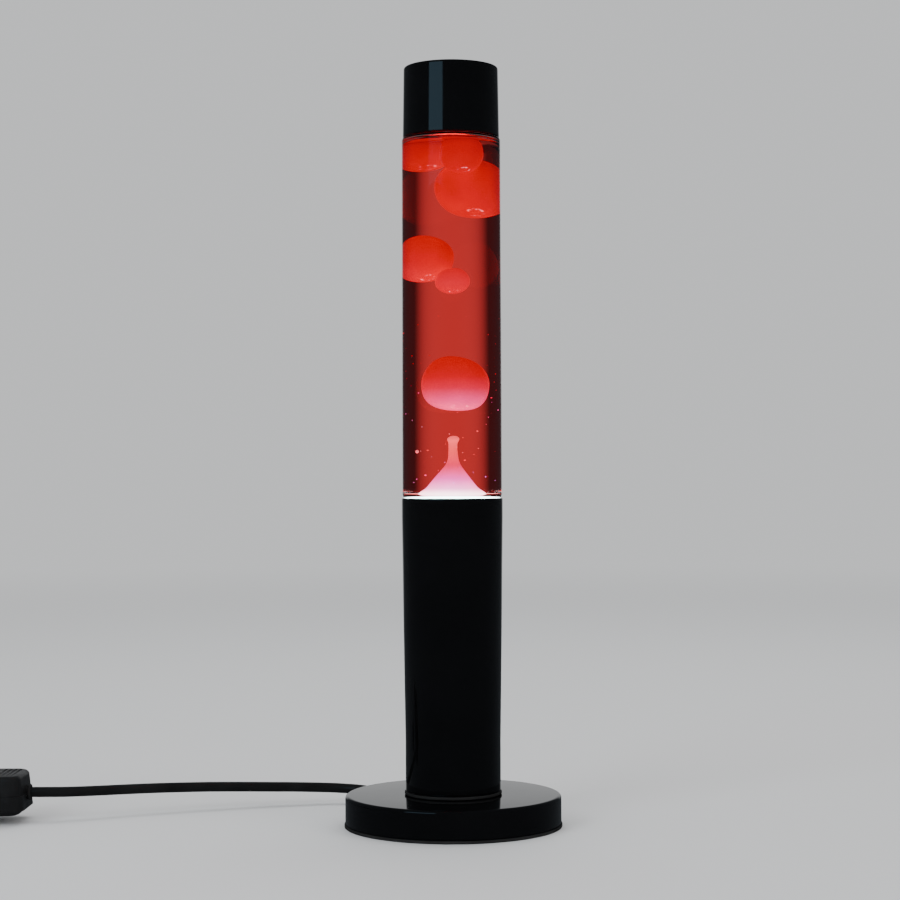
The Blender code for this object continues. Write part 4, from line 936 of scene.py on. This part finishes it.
def make_bulb():
    low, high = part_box("bulb_envelope")
    radius, glass = high.x, 0.0008
    neck = 0.0059
    wide = [
        (neck, low.z), (neck, low.z + 0.007), (0.38 * radius, low.z + 0.01),
        (0.5 * radius, low.z + 0.014), (0.74 * radius, low.z + 0.022),
        (0.92 * radius, low.z + 0.031), (0.997 * radius, high.z - 0.0125),
    ]
    front = [
        (radius, high.z - 0.0105), (0.985 * radius, high.z - 0.008), (0.9 * radius, high.z - 0.0045),
        (0.66 * radius, high.z - 0.0017), (0.34 * radius, high.z - 0.0004), (0, high.z),
    ]
    curve = smooth_outline(wide, 0.0012)
    dome = smooth_outline(front, 0.001)
    cone = [*curve, *[(r - glass, z + 0.0001) for r, z in reversed(curve)]]
    piece("bulb_reflector", spun(cone, 96), "mirror", "bulb", "bulb_envelope")
    inside = [(max(0.0, r - glass), z - 0.7 * glass) for r, z in reversed(dome[:-1])]
    face = [(0, dome[-1][1]), *reversed(dome[:-1]), *reversed(inside), (0, high.z - glass)]
    piece("bulb_face", spun(face, 96), "frost", "bulb")
    low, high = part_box("bulb_screw_cap")
    body = threaded(0.00695, low.z + 0.004, high.z - 0.0015, 0.0028, 0.0005)
    cap = [
        (0, low.z), (0.0034, low.z), (0.004, low.z + 0.0004), (0.006, low.z + 0.003), *body,
        (0.007, high.z), (0.0064, high.z), (0.006, low.z + 0.005), (0, low.z + 0.0048),
    ]
    piece("bulb_thread", spun(cap, 72), "brass", "bulb", "bulb_screw_cap")
    low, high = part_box("bulb_contact")
    tip = [(0, low.z), (0.0009, low.z + 0.0001), (0.0018, low.z + 0.0005), (0.0023, high.z), (0, high.z)]
    piece("solder_tip", spun(tip, 40), "solder", "bulb", "bulb_contact")
    low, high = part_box("bulb_mount")
    stem = [
        (0, low.z), (0.0042, low.z), (0.0036, low.z + 0.003), (0.0026, low.z + 0.007),
        (0.0021, high.z), (0, high.z),
    ]
    piece("glass_mount", spun(stem, 48), "bulb_glass", "bulb", "bulb_mount")
    for side in ("left", "right"):
        low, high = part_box(f"bulb_lead_{side}")
        way = -1 if side == "left" else 1
        near, far = (low.x, high.x) if way > 0 else (high.x, low.x)
        foot, knee = (near + way * 0.0004, 0, low.z), (near + way * 0.001, 0, low.z + 0.004)
        wire = swept(smooth_points([foot, knee, (far, 0, high.z)], 0.0008), 0.0003, 8)
        piece(f"support_{side}", wire, "tungsten", "bulb", f"bulb_lead_{side}")
    low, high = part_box("filament")
    coil = []
    turns = 42
    for i in range(turns * 8 + 1):
        t = i / (turns * 8)
        x = low.x + 0.0004 + (high.x - low.x - 0.0008) * t
        arch = 1 - (2 * t - 1) ** 2
        spot = Vector((x, 0.0016 * arch, low.z + 0.0006 + 0.0006 * arch))
        coil.append(spot + 0.00022 * Vector((0, cos(tau * turns * t), sin(tau * turns * t))))
    piece("filament_coil", swept(coil, 0.00006, 5), "filament", "bulb", "filament")


# ---------------------------------------------------------------- bottle, cap, wax

def bottle_sides():
    """The glass's outside and inside outlines, bottom to top."""
    low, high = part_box("bottle_glass")
    rim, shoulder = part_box("stem_shell")[1].z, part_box("top_cap")[0].z - 0.0003
    heel, body, top, neck = BOTTLE_HEEL, high.x, BOTTLE_TOP, BOTTLE_NECK
    wall = 0.0016
    outside = eased(
        [
            (0, low.z + 0.0008, 0), (0.7 * heel, low.z + 0.0004, 0.002), (0.8 * heel, low.z, 0.0012),
            (heel, low.z, 0.0032), (heel, rim - 0.0006, 0.0008), (body, rim + 0.0014, 0.001),
            (body, rim + 0.05, 0), (top, shoulder - 0.01, 0), (top, shoulder - 0.0002, 0.0013),
            (0.0232, shoulder - 0.0001, 0.001), (1.32 * neck, shoulder + 0.004, 0.003),
            (neck, shoulder + 0.0085, 0.002), (neck, high.z - 0.0032, 0.0003),
            (neck + 0.0007, high.z - 0.0028, 0.0003),
            (neck + 0.0007, high.z, 0.0008), (neck - 0.0022, high.z, 0.0006),
        ],
        6,
    )
    inside = eased(
        [
            (neck - 0.0022, high.z, 0), (neck - 0.0022, shoulder + 0.008, 0.002),
            (1.2 * neck, shoulder + 0.0026, 0.003), (0.0224, shoulder - 0.0012, 0.002),
            (top - wall, shoulder - 0.004, 0.0022), (body - wall, rim + 0.05, 0),
            (body - wall, rim + 0.0045, 0.001), (heel - wall, rim - 0.001, 0.0012),
            (heel - wall, low.z + 0.0035, 0.0034), (0, low.z + 0.0035, 0),
        ],
        6,
    )
    return outside, inside


def make_bottle():
    outside, inside = bottle_sides()
    piece("glass_bottle", spun([*outside, *inside], 224), "glass", "bottle", "bottle_glass", sharp=60)
    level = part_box("top_cap")[0].z - 0.0021
    overlap = 0.0005
    below = [(r + overlap if r > 0.001 else 0, z) for r, z in inside if z < level - 0.003]
    edge = below[0][0]
    below[-1] = (0, below[-1][1] - 0.0003)
    surface_line = [
        (0, level - 0.0009), (edge - 0.005, level - 0.0009), (edge - 0.0022, level - 0.0007),
        (edge - 0.001, level - 0.0002), (edge, level + 0.0004),
    ]
    piece("bottle_liquid", spun(surface_line + below, 224), "liquid", "bottle", sharp=60)
    low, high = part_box("bottle_stopper")
    radius = high.x
    skirt = [
        (0, low.z, 0), (0.0105, low.z, 0.0004), (0.0105, high.z - 0.0027, 0.0002),
        (radius, high.z - 0.0027, 0.0006), (radius, high.z - 0.0006, 0.0006),
        (0.7 * radius, high.z, 0.001), (0, high.z, 0),
    ]
    mesh = spun(eased(skirt), 126)
    for vert in mesh.verts:
        reach = Vector(vert.co.xy).length
        if reach > 0.92 * radius and vert.co.z < high.z - 0.0007:
            flute = 1 + 0.018 * cos(21 * Vector(vert.co.xy).angle_signed(Vector((1, 0)), 0))
            vert.co.x *= flute
            vert.co.y *= flute
    piece("bottle_stopper_cap", mesh, "steel", "bottle", "bottle_stopper")


def make_cap():
    low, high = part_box("top_cap")
    bottom, top, wall = high.x, CAP_TOP, 0.001
    cap = [
        (0, high.z, 0), (top, high.z, 0.0014), (bottom - 0.00005, low.z + 0.002, 0),
        (bottom, low.z, 0.0004),
        (bottom - wall, low.z, 0.0003), (top - wall, high.z - 0.0012, 0.001), (0, high.z - 0.0012, 0),
    ]
    piece("cap_shell", spun(eased(cap, 7), 256), "lacquer", "cap", "top_cap")
    low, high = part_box("cap_insert")
    inner, outer = 0.0143, high.x
    wall = 0.0016
    insert = [
        (inner, low.z, 0.0003), (inner + wall, low.z, 0.0003), (inner + wall, high.z - wall, 0.0004),
        (outer - wall, high.z - wall, 0.0004), (outer - wall, low.z, 0.0003), (outer, low.z, 0.0003),
        (outer, high.z, 0.0004), (inner, high.z, 0.0004),
    ]
    mesh = spun(eased(insert), 128)
    size = (outer - inner - 0.002, 0.0012, high.z - low.z - 0.0024)
    centre = ((inner + outer) / 2, 0, (low.z + high.z) / 2)
    turns = [Matrix.Rotation(tau * k / 8, 4, "Z") for k in range(8)]
    ribs = [moved(block(size, centre, 0.0002, 1), turn) for turn in turns]
    piece("cap_grip", merged(mesh, *ribs), "insert", "cap", "cap_insert")


# How each drop departs from its ball: flatness above and below, how far its lower part swings
# to the right, its ripple, where in the noise the ripple is read, and for drops pressed against
# the surface how far they are moved in X and Z and how much taller they are.
DROPS = {
    "wax_middle": ("wax_low", 0.00, 0.55, 0.12, 0.03, 3),
    "wax_left": ("wax_pair", 0.1, 0.2, 0.00, 0.03, 11),
    "wax_small": ("wax_pair", 0.1, 0.1, -0.06, 0.04, 17),
    "wax_right": ("wax_top", 0.1, 0.1, 0.05, 0.045, 23),
    "wax_top_left": ("wax_top", 0.9, 0.1, 0.00, 0.02, 31, (0, 0.0004), 0.0008),
    "wax_top_middle": ("wax_top", 0.8, 0.1, 0.00, 0.02, 41, (0.0022, -0.0008), 0.002),
}


def make_drop(node, body, flat_top, flat_bottom, swing, ripple, seed, shift=(0, 0), taller=0.0):
    """A drop from a ball that fills its node's box."""
    low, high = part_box(node)
    centre = (low + high) / 2 + Vector((shift[0], 0, shift[1]))
    half = (high - low) / 2 + Vector((0, 0, taller))
    mesh = bmesh.new()
    bmesh.ops.create_uvsphere(mesh, u_segments=72, v_segments=40, radius=1)
    offset = Vector((seed, 2 * seed, 3 * seed))
    for vert in mesh.verts:
        unit = vert.co.copy()
        swell = 1 + ripple * (noise.noise(1.1 * unit + offset) - 0.3)
        flat = flat_top if unit.z > 0 else flat_bottom
        tall = unit.z * (1 + 0.5 * flat * (1 - unit.z * unit.z))
        vert.co.x = half.x * (swell * 0.985 * unit.x - swing * unit.z * (1 - abs(unit.x)))
        vert.co.y = half.y * 0.985 * swell * unit.y
        vert.co.z = half.z * (1 + 0.5 * (swell - 1)) * tall
    drop = moved(mesh, Matrix.Translation(centre))
    piece(node + "_drop", drop, "wax", body, node, sharp=180)


def make_mound():
    low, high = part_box("wax_mound")
    pool = high.z - WAX_COLUMN_HEIGHT
    rim = 0.0231
    profile = [
        (0.014, 0.0003), (0.012, 0.0024), (0.0099, 0.005), (0.0077, 0.0087), (0.0061, 0.0114),
        (0.0045, 0.014), (0.0031, 0.0165), (0.0022, 0.0192), (0.0018, 0.023), (0.0017, 0.0262),
        (0.0018, 0.0284), (0.0023, 0.0298), (0.0022, 0.0307), (0.0015, 0.0315), (0.0007, 0.03185),
        (0, WAX_COLUMN_HEIGHT),
    ]
    foot = [
        (0, low.z), (rim - 0.003, low.z), (rim - 0.0008, low.z + 0.0009), (rim - 0.0002, low.z + 0.003),
        (rim - 0.0002, pool - 0.003), (rim + 0.0006, pool - 0.0008),
        (rim + 0.0008, pool + 0.0006), (rim + 0.0003, pool + 0.0007),
        (rim - 0.001, pool + 0.0002), (rim - 0.0034, pool - 0.0001),
        (0.0168, pool - 0.0002),
    ]
    rise = [(r, pool + z) for r, z in profile]
    points = foot + smooth_outline(rise, 0.0006)
    points[-1] = (0, points[-1][1])
    mesh = spun(points, 96)
    for vert in mesh.verts:
        above = max(0.0, vert.co.z - pool) / 0.032
        vert.co.x += 0.0008 * above * above - 0.0003 * sin(9 * above) * above
        read = Vector((90 * vert.co.x, 90 * vert.co.y, 60 * vert.co.z))
        wave = 1 + 0.03 * noise.noise(read) * min(1.0, 3 * above)
        vert.co.x *= wave
        vert.co.y *= wave
    piece("wax_column", mesh, "wax", "bottle", "wax_mound", sharp=180)


def make_specks():
    """Fine beads of wax that hang in the lower liquid, and one larger bead at the left."""
    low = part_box("stem_shell")[1].z
    beads = [((-0.0152, -0.006, low + 0.0246), 0.00085)]
    for k in range(64):
        turn = tau * (k * 0.618034 % 1)
        reach = 0.0215 * sqrt(k * 0.371 % 1)
        lift = 0.008 + 0.09 * (k * 0.7549 % 1) ** 1.3
        size = 0.00016 + 0.00026 * (k * 0.5437 % 1) ** 3
        if reach < 0.0165 and lift > 0.045:
            reach = 0.0165 + 0.25 * reach
        beads.append(((reach * cos(turn), reach * sin(turn), low + lift), size))
    parts = []
    for spot, size in beads:
        bead = bmesh.new()
        bmesh.ops.create_icosphere(bead, subdivisions=2, radius=size)
        parts.append(moved(bead, Matrix.Translation(spot)))
    piece("wax_beads", merged(*parts), "wax", "bottle", sharp=180)


def make_heat_coil():
    low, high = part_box("heat_coil")
    radius, half, middle = high.x - 0.0025, 0.0021, (low.z + high.z) / 2
    line = []
    turns = 44
    for i in range(turns * 10):
        a = tau * i / (turns * 10)
        reach = radius + half * cos(a * turns)
        line.append(Vector((reach * cos(a), reach * sin(a), middle + half * sin(a * turns))))
    piece("coiled_wire", swept(line, 0.0003, 6, closed=True), "steel", "bottle", "heat_coil")


def make_wax():
    for node, settings in DROPS.items():
        make_drop(node, *settings)
    make_mound()
    make_specks()
    make_heat_coil()


# ---------------------------------------------------------------- inner CAD pieces that stay

def finish_inner_nodes():
    kept = {
        "base_weight": "iron", "tube_nut_lower": "steel", "tube_nut_upper": "steel",
        "tube_washer": "steel", "holder_deck": "ceramic", "wire_live": "brown_wire",
        "wire_neutral": "blue_wire",
    }
    for name, finish in kept.items():
        node = frame["nodes"][name]
        node.data.materials.clear()
        node.data.materials.append(FINISH[finish])


# ---------------------------------------------------------------- studio

BACKDROP = (0.7, 0.71, 0.72)  # what the camera sees past the floor
DIM = (0.055, 0.062, 0.07)  # what gloss reflects of the room in front
BRIGHT = (0.62, 0.63, 0.64)  # and of the backdrop
THROUGH = (0.2, 0.2, 0.205)  # the floor near by, seen through glass
BACK_SPAN = (0.87, 0.995)  # how squarely a ray goes back, from where it starts to see the backdrop
FLOOR_RADIUS = 14
FLOOR_FADE = (0.7, 3.2)  # where the floor fades into the backdrop


def make_floor():
    """A pale floor that fades into the backdrop. Gloss sees it dimmed, as through black flags."""
    mesh = bmesh.new()
    bmesh.ops.create_circle(mesh, cap_ends=True, radius=FLOOR_RADIUS, segments=96)
    data = baked("floor", mesh)
    paint = Finish("floor_paint")
    paint.set({"Base Color": (0.74, 0.745, 0.75), "Roughness": 0.6, "Specular IOR Level": 0.2})
    spot = paint.node("NewGeometry").outputs["Position"]
    reach = paint.node("VectorMath", {0: spot}, operation="LENGTH").outputs["Value"]
    far = paint.eased(reach, *FLOOR_FADE)
    along = paint.maths("DIVIDE", paint.axis(spot, "Y"), reach)
    behind = paint.maths("MULTIPLY", paint.eased(along, *BACK_SPAN), far)
    path = paint.node("LightPath").outputs
    near = paint.maths("MAXIMUM", paint.maths("SUBTRACT", path["Is Transmission Ray"], far))
    tone = paint.mix(behind, paint.mix(near, DIM, THROUGH), BRIGHT)
    back = paint.node("Emission", {"Color": BACKDROP}).outputs["Emission"]
    flag = paint.node("Emission", {"Color": tone}).outputs["Emission"]
    seen = paint.either(far, paint.shader.outputs["BSDF"], back)
    paint.show(Surface=paint.either(path["Is Glossy Ray"], seen, flag))
    data.materials.append(paint.material)
    placed("floor", data)


def make_world():
    """A pale, even studio. In gloss and through glass, only the backdrop's side is bright."""
    world = bpy.data.worlds.new("studio")
    world.use_nodes = True
    graph = Graph(world.node_tree)
    behind = graph.eased(graph.axis(graph.node("TexCoord").outputs["Generated"], "Y"), *BACK_SPAN)
    glossy = graph.node("LightPath").outputs["Is Glossy Ray"]
    seen = graph.mix(glossy, BACKDROP, graph.mix(behind, DIM, BRIGHT))
    graph.fill(graph.nodes["Background"], {"Color": seen, "Strength": 1.0})
    bpy.context.scene.world = world


def lamp(name, place, target, size, watts, colour, in_gloss=False):
    data = bpy.data.lights.new(name, "AREA")
    data.shape = "RECTANGLE"
    data.size, data.size_y = size
    data.energy = watts
    data.color = colour
    light = placed(name, data)
    way = Vector(target) - Vector(place)
    light.matrix_world = Matrix.Translation(place) @ way.to_track_quat("-Z", "Y").to_matrix().to_4x4()
    light.visible_glossy = in_gloss
    light.visible_transmission = False


def make_studio():
    make_floor()
    make_world()
    lamp("key", (-0.95, -1.25, 0.75), (0, 0, 0.28), (0.75, 1.15), 13, (0.96, 0.98, 1.0))
    lamp("fill", (1.6, -1.0, 0.9), (0, 0, 0.2), (0.9, 1.2), 8, (1.0, 0.98, 0.96))
    lamp("top", (0.2, 0.9, 1.9), (0, 0, 0.1), (1.6, 1.2), 15, (1, 1, 1))
    lamp("strip", (-0.9, -1.2, 0.8), (0, 0, 0.8), (0.92, 0.5), 1.5, (0.4, 0.74, 1.0), True)


make_camera()
make_cords()
make_base()
make_stem()
make_holder()
make_bulb()
make_bottle()
make_cap()
make_wax()
finish_inner_nodes()
make_studio()
